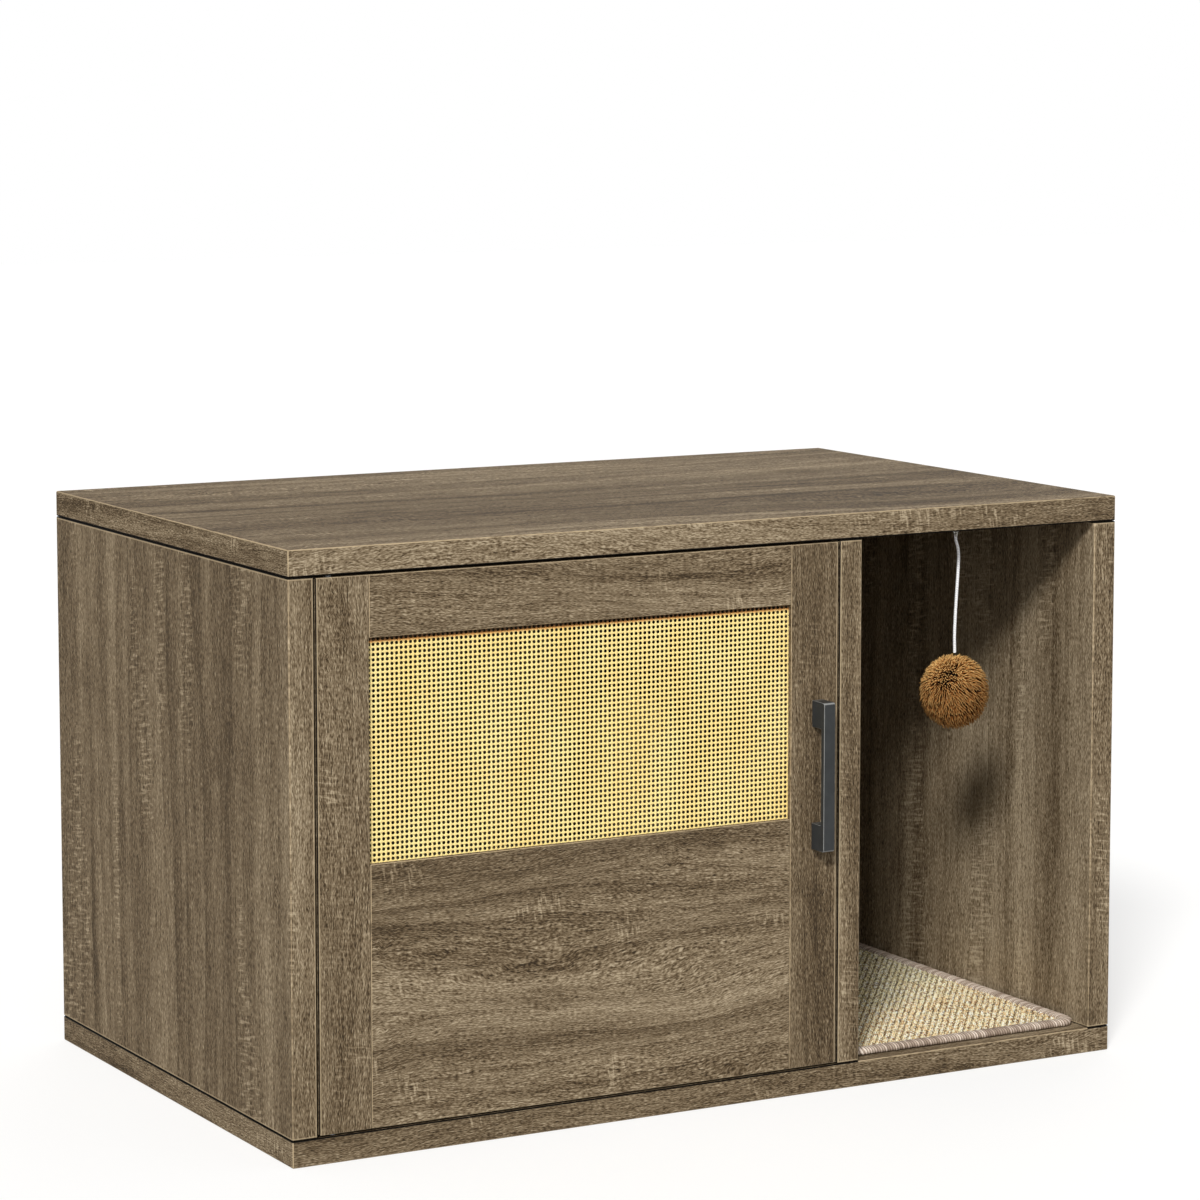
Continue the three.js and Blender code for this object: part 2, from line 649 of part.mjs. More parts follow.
// The room for both bushes and the pins' ends in the hinge stile.
function bushBores() {
  const radius = BUSH_RADIUS + SEAT_GAP;
  const length = BUSH_LENGTH + SEAT_GAP;
  const centre = [PIVOT_X, PIVOT_Y];
  return bar('z', centre, DOOR_BOTTOM - SEAT_GAP, DOOR_BOTTOM + length, radius)
    .add(bar('z', centre, DOOR_TOP - length, DOOR_TOP + SEAT_GAP, radius));
}

function addPivotPins(carcass) {
  addPiece(carcass, 'pivot_pin_lower', pivotPin(FLOOR, 1), 'steel');
  addPiece(carcass, 'pivot_pin_upper', pivotPin(CEILING, -1), 'steel');
}

// ---------------------------------------------------------------------------
// Door
// ---------------------------------------------------------------------------

const RABBET_LOW = [WINDOW_LEFT - RABBET_WIDTH, FRONT + CANE_RECESS, WINDOW_BOTTOM - RABBET_WIDTH];
const RABBET_HIGH = [WINDOW_RIGHT + RABBET_WIDTH, DOOR_BACK + OVERCUT, WINDOW_TOP + RABBET_WIDTH];
const TONGUE_Y = FRONT + DOOR_THICKNESS / 2 - TONGUE_THICKNESS / 2;

// The heights between which the rail and the panel have their tongues.
const TONGUE_SPANS = {
  rail: [WINDOW_TOP + RABBET_WIDTH + TONGUE_MARGIN, DOOR_TOP - TONGUE_MARGIN],
  panel: [DOOR_BOTTOM + TONGUE_MARGIN, WINDOW_BOTTOM - RABBET_WIDTH - TONGUE_MARGIN],
};

// A tongue's corners across the whole width between the two stile grooves.
function tongueCorners([low, high]) {
  return [
    [WINDOW_LEFT - TONGUE_LENGTH, TONGUE_Y, low],
    [WINDOW_RIGHT + TONGUE_LENGTH, TONGUE_Y + TONGUE_THICKNESS, high],
  ];
}

function doorStile(low, high) {
  return block([low, FRONT, DOOR_BOTTOM], [high, DOOR_BACK, DOOR_TOP], DOOR_EDGE_ROUNDING)
    .subtract(block(RABBET_LOW, RABBET_HIGH))
    .subtract(roomFor(...tongueCorners(TONGUE_SPANS.rail)))
    .subtract(roomFor(...tongueCorners(TONGUE_SPANS.panel)));
}

// The rail or the panel between the stiles, with its tongues and its share of the rabbet.
function doorCrossPiece(bottom, top, span) {
  const low = [WINDOW_LEFT + SEAT_GAP, FRONT, bottom];
  const high = [WINDOW_RIGHT - SEAT_GAP, DOOR_BACK, top];
  return block(low, high, DOOR_EDGE_ROUNDING)
    .add(block(...tongueCorners(span)))
    .subtract(block(RABBET_LOW, RABBET_HIGH));
}

// Open square cane mesh: a flat sheet with a grid of gaps, tucked behind the window's edge.
function caneWebbing() {
  const pitchX = (WINDOW_RIGHT - WINDOW_LEFT - 2 * CANE_MARGIN) / CANE_COLUMNS;
  const pitchZ = (WINDOW_TOP - WINDOW_BOTTOM - 2 * CANE_MARGIN) / CANE_ROWS;
  const gapShare = 1 - CANE_STRAND_SHARE;
  const gaps = [];
  for (let column = 0; column < CANE_COLUMNS; column += 1) {
    for (let row = 0; row < CANE_ROWS; row += 1) {
      const gap = new THREE.BoxGeometry(pitchX * gapShare, CANE_THICKNESS * 2, pitchZ * gapShare);
      const x = WINDOW_LEFT + CANE_MARGIN + pitchX * (column + 0.5);
      const z = WINDOW_BOTTOM + CANE_MARGIN + pitchZ * (row + 0.5);
      gap.translate(x, CANE_FRONT + CANE_THICKNESS / 2, z);
      gaps.push(gap);
    }
  }
  const low = [WINDOW_LEFT - CANE_TUCK, CANE_FRONT, WINDOW_BOTTOM - CANE_TUCK];
  const high = [WINDOW_RIGHT + CANE_TUCK, CANE_BACK, WINDOW_TOP + CANE_TUCK];
  return block(low, high).subtract(solidFrom(mergeGeometries(gaps)));
}

// The four strips that press the cane into the rabbet.
function addCaneBeads(door) {
  const front = CANE_BACK + SEAT_GAP;
  const back = DOOR_BACK - SEAT_GAP;
  const outerLeft = RABBET_LOW[0] + SEAT_GAP;
  const outerRight = RABBET_HIGH[0] - SEAT_GAP;
  const outerLow = RABBET_LOW[2] + SEAT_GAP;
  const outerHigh = RABBET_HIGH[2] - SEAT_GAP;
  const sideLow = WINDOW_BOTTOM + SEAT_GAP;
  const sideHigh = WINDOW_TOP - SEAT_GAP;
  const beads = [
    ['cane_bead_top', [outerLeft, front, WINDOW_TOP], [outerRight, back, outerHigh]],
    ['cane_bead_bottom', [outerLeft, front, outerLow], [outerRight, back, WINDOW_BOTTOM]],
    ['cane_bead_left', [outerLeft, front, sideLow], [WINDOW_LEFT, back, sideHigh]],
    ['cane_bead_right', [WINDOW_RIGHT, front, sideLow], [outerRight, back, sideHigh]],
  ];
  for (const [name, low, high] of beads) {
    addPiece(door, name, block(low, high, BEAD_ROUNDING), 'oak');
  }
}

// The heights of the handle's two screws, at the middles of its feet.
const HANDLE_SCREW_HEIGHTS = {
  lower: HANDLE_LOW + HANDLE_FOOT_HEIGHT / 2,
  upper: HANDLE_HIGH - HANDLE_FOOT_HEIGHT / 2,
};

function handleScrewBore(z) {
  const bottom = FRONT - SEAT_GAP - HANDLE_SCREW_BITE;
  const radius = SCREW_SHANK_RADIUS + SEAT_GAP;
  return bar('y', [HANDLE_X, z], bottom, DOOR_BACK + SEAT_GAP, radius, FASTENER_SIDES);
}

// A flat bar on two feet, drawn from the side and extruded across its width.
function barHandle() {
  const outer = HANDLE_PROJECTION;
  const inner = HANDLE_PROJECTION - HANDLE_BAR_DEPTH;
  const side = new THREE.Shape();
  side.moveTo(SEAT_GAP, HANDLE_LOW);
  side.lineTo(outer - HANDLE_OUTER_RADIUS, HANDLE_LOW);
  side.absarc(
    outer - HANDLE_OUTER_RADIUS, HANDLE_LOW + HANDLE_OUTER_RADIUS,
    HANDLE_OUTER_RADIUS, -Math.PI / 2, 0,
  );
  side.lineTo(outer, HANDLE_HIGH - HANDLE_OUTER_RADIUS);
  side.absarc(
    outer - HANDLE_OUTER_RADIUS, HANDLE_HIGH - HANDLE_OUTER_RADIUS,
    HANDLE_OUTER_RADIUS, 0, Math.PI / 2,
  );
  side.lineTo(SEAT_GAP, HANDLE_HIGH);
  side.lineTo(SEAT_GAP, HANDLE_HIGH - HANDLE_FOOT_HEIGHT);
  side.lineTo(inner - HANDLE_INNER_RADIUS, HANDLE_HIGH - HANDLE_FOOT_HEIGHT);
  side.absarc(
    inner - HANDLE_INNER_RADIUS, HANDLE_HIGH - HANDLE_FOOT_HEIGHT - HANDLE_INNER_RADIUS,
    HANDLE_INNER_RADIUS, Math.PI / 2, 0, true,
  );
  side.lineTo(inner, HANDLE_LOW + HANDLE_FOOT_HEIGHT + HANDLE_INNER_RADIUS);
  side.absarc(
    inner - HANDLE_INNER_RADIUS, HANDLE_LOW + HANDLE_FOOT_HEIGHT + HANDLE_INNER_RADIUS,
    HANDLE_INNER_RADIUS, 0, -Math.PI / 2, true,
  );
  side.lineTo(SEAT_GAP, HANDLE_LOW + HANDLE_FOOT_HEIGHT);
  const geometry = new THREE.ExtrudeGeometry(side, {
    depth: HANDLE_WIDTH - 2 * HANDLE_BEVEL,
    bevelThickness: HANDLE_BEVEL,
    bevelSize: HANDLE_BEVEL,
    bevelOffset: -HANDLE_BEVEL,
    bevelSegments: HANDLE_BEVEL_STEPS,
    curveSegments: HANDLE_CORNER_STEPS,
  });
  const right = HANDLE_X + HANDLE_WIDTH / 2 - HANDLE_BEVEL;
  return solidFrom(along(geometry, [0, -1, 0], [0, 0, 1], [-1, 0, 0]), [right, FRONT, 0])
    .subtract(handleScrewBore(HANDLE_SCREW_HEIGHTS.lower))
    .subtract(handleScrewBore(HANDLE_SCREW_HEIGHTS.upper));
}

function addHandle(door) {
  addPiece(door, 'handle', barHandle(), 'charcoal');
  const headSeat = DOOR_BACK + SEAT_GAP;
  const shankLength = DOOR_THICKNESS + SEAT_GAP + HANDLE_SCREW_BITE;
  for (const [label, z] of Object.entries(HANDLE_SCREW_HEIGHTS)) {
    const screw = placed(panScrew(shankLength), [HANDLE_X, headSeat, z], POINT_FORWARD);
    addPiece(door, `handle_screw_${label}`, screw, 'steel');
  }
}

function strikeBore() {
  const bottom = STRIKE_BACK - STRIKE_SCREW_BITE - SEAT_GAP;
  const z = STRIKE_TOP - STRIKE_HEIGHT / 2;
  const radius = SCREW_SHANK_RADIUS + SEAT_GAP;
  return bar('y', [CATCH_X, z], bottom, STRIKE_BACK + SEAT_GAP, radius, FASTENER_SIDES);
}

function addStrikePlate(door) {
  const low = [CATCH_X - STRIKE_LENGTH / 2, STRIKE_FRONT, STRIKE_TOP - STRIKE_HEIGHT];
  const high = [CATCH_X + STRIKE_LENGTH / 2, STRIKE_BACK, STRIKE_TOP];
  addPiece(door, 'strike_plate', block(low, high).subtract(strikeBore()), 'zinc');
  const seat = [CATCH_X, STRIKE_BACK + SEAT_GAP, STRIKE_TOP - STRIKE_HEIGHT / 2];
  const screw = placed(panScrew(STRIKE_SCREW_BITE), seat, POINT_FORWARD);
  addPiece(door, 'strike_screw', screw, 'steel');
}

function makeDoor() {
  const door = new THREE.Group();
  door.position.set(PIVOT_X, PIVOT_Y, 0);
  const hingeStile = doorStile(DOOR_LEFT, WINDOW_LEFT).subtract(bushBores());
  const handleStile = doorStile(WINDOW_RIGHT, DOOR_RIGHT)
    .subtract(handleScrewBore(HANDLE_SCREW_HEIGHTS.lower))
    .subtract(handleScrewBore(HANDLE_SCREW_HEIGHTS.upper))
    .subtract(strikeBore());
  const rail = doorCrossPiece(WINDOW_TOP, DOOR_TOP, TONGUE_SPANS.rail).subtract(strikeBore());
  const panel = doorCrossPiece(DOOR_BOTTOM, WINDOW_BOTTOM, TONGUE_SPANS.panel);
  addPiece(door, 'door_left_stile', hingeStile, 'oak');
  addPiece(door, 'door_right_stile', handleStile, 'oak');
  addPiece(door, 'door_top_rail', rail, 'oak');
  addPiece(door, 'door_lower_panel', panel, 'oak');
  addPiece(door, 'cane_webbing', caneWebbing(), 'cane');
  addCaneBeads(door);
  addPiece(door, 'pivot_bush_lower', pivotBush(DOOR_BOTTOM, DOOR_BOTTOM + BUSH_LENGTH), 'nylon');
  addPiece(door, 'pivot_bush_upper', pivotBush(DOOR_TOP - BUSH_LENGTH, DOOR_TOP), 'nylon');
  addHandle(door);
  addStrikePlate(door);
  return door;
}

// ---------------------------------------------------------------------------
// Magnetic catch under the top panel
// ---------------------------------------------------------------------------

// Where a catch screw stands, on the left (-1) or the right (1) ear.
function catchScrewCentre(side) {
  const earMiddle = CATCH_BODY_LENGTH / 2 + CATCH_EAR_LENGTH / 2;
  return [CATCH_X + side * earMiddle, CATCH_FRONT + CATCH_DEPTH / 2];
}

function catchScrewBore(side) {
  const bottom = CEILING - SEAT_GAP - CATCH_EAR_THICKNESS - SEAT_GAP;
  const top = bottom + CATCH_SCREW_BITE + SEAT_GAP;
  return bar('z', catchScrewCentre(side), bottom, top, SCREW_SHANK_RADIUS + SEAT_GAP, FASTENER_SIDES);
}

function addCatch(carcass) {
  const top = CEILING - SEAT_GAP;
  const back = CATCH_FRONT + CATCH_DEPTH;
  const bodyHalf = CATCH_BODY_LENGTH / 2;
  const earHalf = bodyHalf + CATCH_EAR_LENGTH;
  const bodyLow = [CATCH_X - bodyHalf, CATCH_FRONT, top - CATCH_HEIGHT];
  const bodyHigh = [CATCH_X + bodyHalf, back, top];
  const earLow = [CATCH_X - earHalf, CATCH_FRONT, top - CATCH_EAR_THICKNESS];
  const earHigh = [CATCH_X + earHalf, back, top];
  const shell = block(bodyLow, bodyHigh, CATCH_ROUNDING)
    .add(block(earLow, earHigh, CATCH_ROUNDING))
    .subtract(catchScrewBore(-1))
    .subtract(catchScrewBore(1));
  addPiece(carcass, 'magnetic_catch', shell, 'nylon');
  for (const [label, side] of [['left', -1], ['right', 1]]) {
    const seat = [...catchScrewCentre(side), top - CATCH_EAR_THICKNESS - SEAT_GAP];
    const screw = placed(panScrew(CATCH_SCREW_BITE), seat, POINT_UP);
    addPiece(carcass, `catch_screw_${label}`, screw, 'steel');
  }
}

// ---------------------------------------------------------------------------
// Hanging toy: a screw eye, a small ring in it, the cord and the pompom
// ---------------------------------------------------------------------------

const EYE_TURN = new THREE.Euler(Math.PI / 2, 0, 0);
const HANGING_TURN = new THREE.Euler(0, Math.PI / 2, 0);

function eyeBore() {
  const top = CEILING + EYE_SHANK_LENGTH + SEAT_GAP;
  return bar('z', [TOY_X, TOY_Y], CEILING - SEAT_GAP, top, EYE_WIRE_RADIUS + SEAT_GAP, FASTENER_SIDES);
}

function screwEye() {
  const ringTop = EYE_CENTRE + EYE_RING_RADIUS;
  const top = CEILING + EYE_SHANK_LENGTH;
  return wireRing(EYE_RING_RADIUS, EYE_WIRE_RADIUS, [TOY_X, TOY_Y, EYE_CENTRE], EYE_TURN)
    .add(bar('z', [TOY_X, TOY_Y], ringTop, top, EYE_WIRE_RADIUS, WIRE_SIDES));
}

// The cord is swept along its slack curve, in the plane of the cabinet's front.
function toyCord() {
  const points = CORD_CURVE.map(([offset, share]) => new THREE.Vector3(
    TOY_X + offset,
    TOY_Y,
    CORD_TOP - share * CORD_LENGTH_DOWN,
  ));
  const section = new THREE.Shape();
  for (let side = 0; side < CORD_SIDES; side += 1) {
    const angle = (side + 0.5) * 2 * Math.PI / CORD_SIDES;
    const x = CORD_DIAMETER / 2 * Math.cos(angle);
    const y = CORD_DIAMETER / 2 * Math.sin(angle);
    if (side === 0) {
      section.moveTo(x, y);
    } else {
      section.lineTo(x, y);
    }
  }
  const geometry = new THREE.ExtrudeGeometry(section, {
    steps: CORD_STEPS,
    extrudePath: new THREE.CatmullRomCurve3(points),
    bevelEnabled: false,
  });
  return solidFrom(geometry);
}

function pompom() {
  const ball = new THREE.SphereGeometry(1, POMPOM_SIDES, POMPOM_RINGS);
  ball.scale(POMPOM_RADIUS, POMPOM_HALF_HEIGHT, POMPOM_RADIUS);
  return solidFrom(ball, [TOY_X, TOY_Y, POMPOM_CENTRE], AXIS_TURNS.z);
}

function makeToy() {
  const toy = new THREE.Group();
  toy.position.set(TOY_X, TOY_Y, CEILING);
  const ringPlace = [TOY_X, TOY_Y, HANGING_CENTRE];
  const ring = wireRing(HANGING_RING_RADIUS, HANGING_WIRE_RADIUS, ringPlace, HANGING_TURN);
  addPiece(toy, 'screw_eye', screwEye(), 'zinc');
  addPiece(toy, 'hanging_ring', ring, 'nylon');
  addPiece(toy, 'toy_cord', toyCord(), 'cord');
  addPiece(toy, 'pompom', pompom(), 'pompom');
  return toy;
}

// ---------------------------------------------------------------------------
// Mat: a flat woven field inside a thick yarn binding
// ---------------------------------------------------------------------------

function matBinding() {
  const inset = BINDING_ROUNDING;
  const outer = roundedOutline(
    new THREE.Shape(),
    [MAT_LEFT + inset, MAT_FRONT + inset],
    [MAT_RIGHT - inset, MAT_REAR - inset],
    MAT_CORNER_RADIUS - inset,
  );
  const reach = BINDING_WIDTH - inset;
  outer.holes.push(roundedOutline(
    new THREE.Path(),
    [MAT_LEFT + reach, MAT_FRONT + reach],
    [MAT_RIGHT - reach, MAT_REAR - reach],
    inset + BINDING_INNER_RADIUS,
  ));
  const geometry = new THREE.ExtrudeGeometry(outer, {
    depth: BINDING_HEIGHT - 2 * BINDING_ROUNDING,
    bevelThickness: BINDING_ROUNDING,
    bevelSize: BINDING_ROUNDING,
    bevelSegments: BINDING_BEVEL_STEPS,
    curveSegments: BINDING_CORNER_STEPS,
  });
  return solidFrom(geometry, [0, 0, MAT_BOTTOM + BINDING_ROUNDING]);
}

function matField() {
  const reach = BINDING_WIDTH + SEAT_GAP;
  const low = [MAT_LEFT + reach, MAT_FRONT + reach, MAT_BOTTOM];
  const high = [MAT_RIGHT - reach, MAT_REAR - reach, MAT_BOTTOM + MAT_THICKNESS];
  return block(low, high);
}

function makeMat() {
  const mat = new THREE.Group();
  mat.position.set(MAT_LEFT, MAT_FRONT, FLOOR);
  addPiece(mat, 'sisal_mat', matField(), 'sisal');
  addPiece(mat, 'mat_binding', matBinding(), 'binding');
  return mat;
}

// ---------------------------------------------------------------------------
// The whole cabinet
// ---------------------------------------------------------------------------

const cabinet = new THREE.Group();
const carcass = makeCarcass();
addPivotPins(carcass);
addCatch(carcass);
cabinet.add(carcass, makeDoor(), makeToy(), makeMat());

export default cabinet;
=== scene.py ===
"""Looks of the cat litter box cabinet: oak-print boards, cane webbing, mat and toy.

Metres, in the row frame: +X to the right seen from the front, +Y to the rear, +Z up.
"""

import math

import bpy
import numpy as np
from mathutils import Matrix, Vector


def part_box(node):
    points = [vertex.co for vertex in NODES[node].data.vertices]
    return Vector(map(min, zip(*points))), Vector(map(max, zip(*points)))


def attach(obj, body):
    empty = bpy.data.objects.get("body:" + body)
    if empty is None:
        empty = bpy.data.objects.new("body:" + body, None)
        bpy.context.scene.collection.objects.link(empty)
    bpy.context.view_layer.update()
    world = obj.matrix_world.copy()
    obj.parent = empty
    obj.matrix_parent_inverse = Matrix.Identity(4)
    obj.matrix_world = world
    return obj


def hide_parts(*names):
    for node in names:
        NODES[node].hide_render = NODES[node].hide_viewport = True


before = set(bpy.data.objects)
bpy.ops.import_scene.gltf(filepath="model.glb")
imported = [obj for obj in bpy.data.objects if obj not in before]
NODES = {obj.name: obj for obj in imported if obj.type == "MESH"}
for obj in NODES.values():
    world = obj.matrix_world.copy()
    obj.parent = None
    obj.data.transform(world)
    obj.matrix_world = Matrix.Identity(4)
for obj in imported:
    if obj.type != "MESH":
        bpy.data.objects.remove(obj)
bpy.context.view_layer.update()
RNG = np.random.default_rng(20)

# ----------------------------------------
# Camera: the photograph's viewpoint
# ----------------------------------------

CAMERA_PLACE = (-1.9496, -3.5244, 1.0039)
CAMERA_YAW = 29.19
CAMERA_TILT = 6.442
CAMERA_LENS = 122.27
CAMERA_SENSOR = 36
CAMERA_SHIFT = -0.08


def make_camera():
    data = bpy.data.cameras.new("camera")
    data.lens = CAMERA_LENS
    data.sensor_width = CAMERA_SENSOR
    data.shift_y = CAMERA_SHIFT
    data.clip_start, data.clip_end = 0.05, 100
    camera = bpy.data.objects.new("camera", data)
    camera.location = CAMERA_PLACE
    camera.rotation_euler = (
        math.radians(90 - CAMERA_TILT),
        0,
        math.radians(-CAMERA_YAW),
    )
    bpy.context.scene.collection.objects.link(camera)
    bpy.context.scene.camera = camera


make_camera()
bpy.context.scene.view_settings.view_transform = "Standard"

# ----------------------------------------
# Mesh helpers
# ----------------------------------------


def mesh_object(name, points, faces, smooth=True, **attributes):
    """A mesh object from arrays. Each attribute is one number a point."""
    mesh = bpy.data.meshes.new(name)
    mesh.from_pydata(np.asarray(points, float).tolist(), [], [list(f) for f in faces])
    mesh.polygons.foreach_set("use_smooth", [smooth] * len(mesh.polygons))
    for key, values in attributes.items():
        layer = mesh.attributes.new(key, "FLOAT", "POINT")
        layer.data.foreach_set("value", np.asarray(values, np.float32))
    mesh.update()
    made = bpy.data.objects.new(name, mesh)
    bpy.context.scene.collection.objects.link(made)
    return made


def loft_faces(rings, sides, closed_section=True, closed_path=False):
    """Quads between rings of `sides` points each, laid one after the other."""
    last = rings if closed_path else rings - 1
    ring = np.arange(last)
    side = np.arange(sides if closed_section else sides - 1)
    r, s = np.meshgrid(ring, side, indexing="ij")
    r2, s2 = (r + 1) % rings, (s + 1) % sides
    quads = np.stack(
        [r * sides + s, r * sides + s2, r2 * sides + s2, r2 * sides + s], -1
    )
    return quads.reshape(-1, 4)


def capped_faces(rings, sides):
    """The faces of a row of rings that is closed at both ends."""
    last = (rings - 1) * sides
    caps = [list(range(sides))[::-1], list(range(last, last + sides))]
    return loft_faces(rings, sides).tolist() + caps


def full_turn(count):
    """That many angles, spread evenly all the way round."""
    return np.linspace(0, 2 * math.pi, count, endpoint=False)


def join_parts(parts):
    """Points, faces and attribute lists of several parts as one."""
    points, faces, start = [], [], 0
    extra = {key: [] for key in parts[0][2]}
    for part_points, part_faces, values in parts:
        points.append(part_points)
        faces.extend((np.asarray(f) + start).tolist() for f in part_faces)
        for key in extra:
            extra[key].append(np.broadcast_to(values[key], len(part_points)))
        start += len(part_points)
    joined = {key: np.concatenate(value) for key, value in extra.items()}
    return np.concatenate(points), faces, joined


def catmull_rom(controls, steps):
    """Points on a smooth curve through the controls, `steps` to each stretch."""
    p = np.asarray(controls, float)
    p = np.vstack([2 * p[0] - p[1], p, 2 * p[-1] - p[-2]])
    t = np.linspace(0, 1, steps, endpoint=False)[:, None]
    out = []
    for a, b, c, d in zip(p, p[1:], p[2:], p[3:]):
        out.append(
            0.5
            * (
                2 * b
                + (c - a) * t
                + (2 * a - 5 * b + 4 * c - d) * t**2
                + (3 * b - a - 3 * c + d) * t**3
            )
        )
    out.append(p[-2][None])
    return np.concatenate(out)


# ----------------------------------------
# Cord of the toy
# ----------------------------------------

TOY_X, TOY_Y = 0.28875, -0.2325
CORD_TOP = 0.5237
CORD_DROP = 0.1145
CORD_DIAMETER = 0.003
CORD_STEPS = 4
CORD_LOOP_CENTRE = 0.5246
CORD_LOOP_RADIUS = 0.00135
CORD_LOOP_HALF_THICKNESS = 0.0005

# Sideways offset in millimetres and share of the way down, top to bottom, as in the
# solid.
CORD_CURVE = [
    (0, 0),
    (0.25, 0.03),
    (2.6, 0.09),
    (3.6, 0.17),
    (3.1, 0.3),
    (1.6, 0.5),
    (0.3, 0.7),
    (-0.3, 0.86),
    (0, 0.97),
    (0, 1),
]


def make_cord():
    controls = [
        (TOY_X + offset / 1000, TOY_Y, CORD_TOP - share * CORD_DROP)
        for offset, share in CORD_CURVE
    ]
    line = catmull_rom(controls, CORD_STEPS)
    curve = bpy.data.curves.new("hanging_cord", "CURVE")
    curve.dimensions = "3D"
    curve.bevel_depth = CORD_DIAMETER / 2
    curve.bevel_resolution = 4
    curve.use_fill_caps = True
    spline = curve.splines.new("POLY")
    spline.points.add(len(line) - 1)
    for point, place in zip(spline.points, line):
        point.co = (*place, 1)
    spline.use_smooth = True
    cord = bpy.data.objects.new("hanging_cord", curve)
    bpy.context.scene.collection.objects.link(cord)
    length = float(np.linalg.norm(np.diff(line, axis=0), axis=1).sum())
    return cord, length


def make_cord_loop():
    """The cord's small end loop, through the hanging ring."""
    rings, sides = 24, 8
    a, s = np.meshgrid(full_turn(rings), full_turn(sides), indexing="ij")
    radius = CORD_LOOP_RADIUS + CORD_LOOP_HALF_THICKNESS * np.cos(s)
    x = TOY_X + radius * np.cos(a)
    y = TOY_Y + CORD_LOOP_HALF_THICKNESS * np.sin(s)
    z = CORD_LOOP_CENTRE + radius * np.sin(a)
    points = np.stack([x, y, z], -1).reshape(-1, 3)
    return mesh_object("cord_loop", points, loft_faces(rings, sides, closed_path=True))


cord, cord_length = make_cord()
cord_loop = make_cord_loop()

# ----------------------------------------
# Shader helpers
# ----------------------------------------


class Graph:
    """Adds shader nodes and joins them. A value is a socket or a plain number."""

    def __init__(self, tree):
        self.tree = tree
        tree.nodes.clear()

    def put(self, socket, value):
        if isinstance(value, bpy.types.NodeSocket):
            self.tree.links.new(value, socket)
        else:
            socket.default_value = value

    def node(self, kind, inputs=None, **settings):
        node = self.tree.nodes.new("ShaderNode" + kind)
        for key, value in settings.items():
            setattr(node, key, value)
        for key, value in (inputs or {}).items():
            self.put(node.inputs[key], value)
        return node

    def place(self):
        """A point's place on its piece, which at rest is its place in the row frame."""
        return self.node("TexCoord").outputs["Object"]

    def math(self, operation, *values):
        inputs = dict(enumerate(values))
        return self.node("Math", inputs, operation=operation).outputs[0]

    def add(self, *values):
        total = values[0]
        for value in values[1:]:
            total = self.math("ADD", total, value)
        return total

    def times(self, a, b):
        return self.math("MULTIPLY", a, b)

    def centred(self, value, amount):
        """(value - 0.5) * amount"""
        return self.math("MULTIPLY_ADD", value, amount, -0.5 * amount)

    def split(self, vector):
        return self.node("SeparateXYZ", {0: vector}).outputs

    def vector(self, x, y, z):
        return self.node("CombineXYZ", {0: x, 1: y, 2: z}).outputs[0]

    def stretch(self, vector, scale, shift=(0, 0, 0)):
        inputs = {"Vector": vector, "Scale": scale, "Location": shift}
        return self.node("Mapping", inputs).outputs[0]

    def noise(self, vector, scale=1.0, detail=2.0, roughness=0.5):
        inputs = {"Vector": vector, "Scale": scale, "Detail": detail}
        inputs["Roughness"] = roughness
        return self.node("TexNoise", inputs).outputs[0]

    def step(self, value, low, high):
        """0 below `low`, 1 above `high`, smooth between."""
        inputs = {"Value": value, "From Min": low, "From Max": high}
        node = self.node("MapRange", inputs, interpolation_type="SMOOTHSTEP")
        return node.outputs[0]

    def ramp(self, value, stops):
        node = self.node("ValToRGB", {0: value})
        elements = node.color_ramp.elements
        while len(elements) < len(stops):
            elements.new(0.5)
        for element, (place, colour) in zip(elements, stops):
            element.position = place
            element.color = colour
        return node.outputs[0]

    def blend(self, factor, a, b, mode="MIX"):
        node = self.node("Mix", data_type="RGBA", blend_type=mode)
        for socket, value in ((0, factor), (6, a), (7, b)):
            self.put(node.inputs[socket], value)
        return node.outputs[2]

    def attribute(self, name):
        return self.node("Attribute", attribute_name=name).outputs["Fac"]


def srgb(*values):
    """An sRGB colour, 0 to 255, as linear light."""
    linear = []
    for value in values:
        v = value / 255
        linear.append(v / 12.92 if v <= 0.04045 else ((v + 0.055) / 1.055) ** 2.4)
    return (*linear, 1)


def new_material(name):
    material = bpy.data.materials.new(name)
    material.use_nodes = True
    return material, Graph(material.node_tree)


def finish_material(g, colour, roughness, height, bump, depth, **fixed):
    """Adds the surface. `height` drives the bump, and `fixed` are plain values."""
    shader = g.node("BsdfPrincipled", {"Base Color": colour, "Roughness": roughness})
    for key, value in fixed.items():
        shader.inputs[key.replace("_", " ")].default_value = value
    inputs = {"Height": height, "Strength": bump, "Distance": depth}
    g.put(shader.inputs["Normal"], g.node("Bump", inputs).outputs[0])
    g.node("OutputMaterial", {0: shader.outputs[0]})


def facing_parts(g):
    """How far the surface faces along each axis, and the most of the three.

    The most is 1 on a face that is square to an axis, and less on a rounding.
    """
    normal = g.split(g.node("TexCoord").outputs["Normal"])
    facing = [g.math("ABSOLUTE", part) for part in normal]
    most = g.math("MAXIMUM", g.math("MAXIMUM", facing[0], facing[1]), facing[2])
    return facing, most


# ----------------------------------------
# Floor, light and background
# ----------------------------------------

# Direction, strength and spread in degrees.
KEY_LIGHT = ((0.53, 0.62, -0.57), 2.72, 11)
FRONT_LIGHT = ((0.30, 0.93, -0.12), 0.55, 60)
BACK_LIGHT = ((-0.62, -0.72, -0.30), 0.60, 40)
LIGHT_COLOUR = (1, 0.99, 0.97)
AMBIENT = 0.42
FLOOR_REACH = 14
FLOOR_GLOW = 1.12
# The floor's paint as it is seen, and the duller one that lights the cabinet.
FLOOR_SEEN = (0.97, 0.97, 0.97, 1)
FLOOR_DULL = (0.42, 0.42, 0.42, 1)


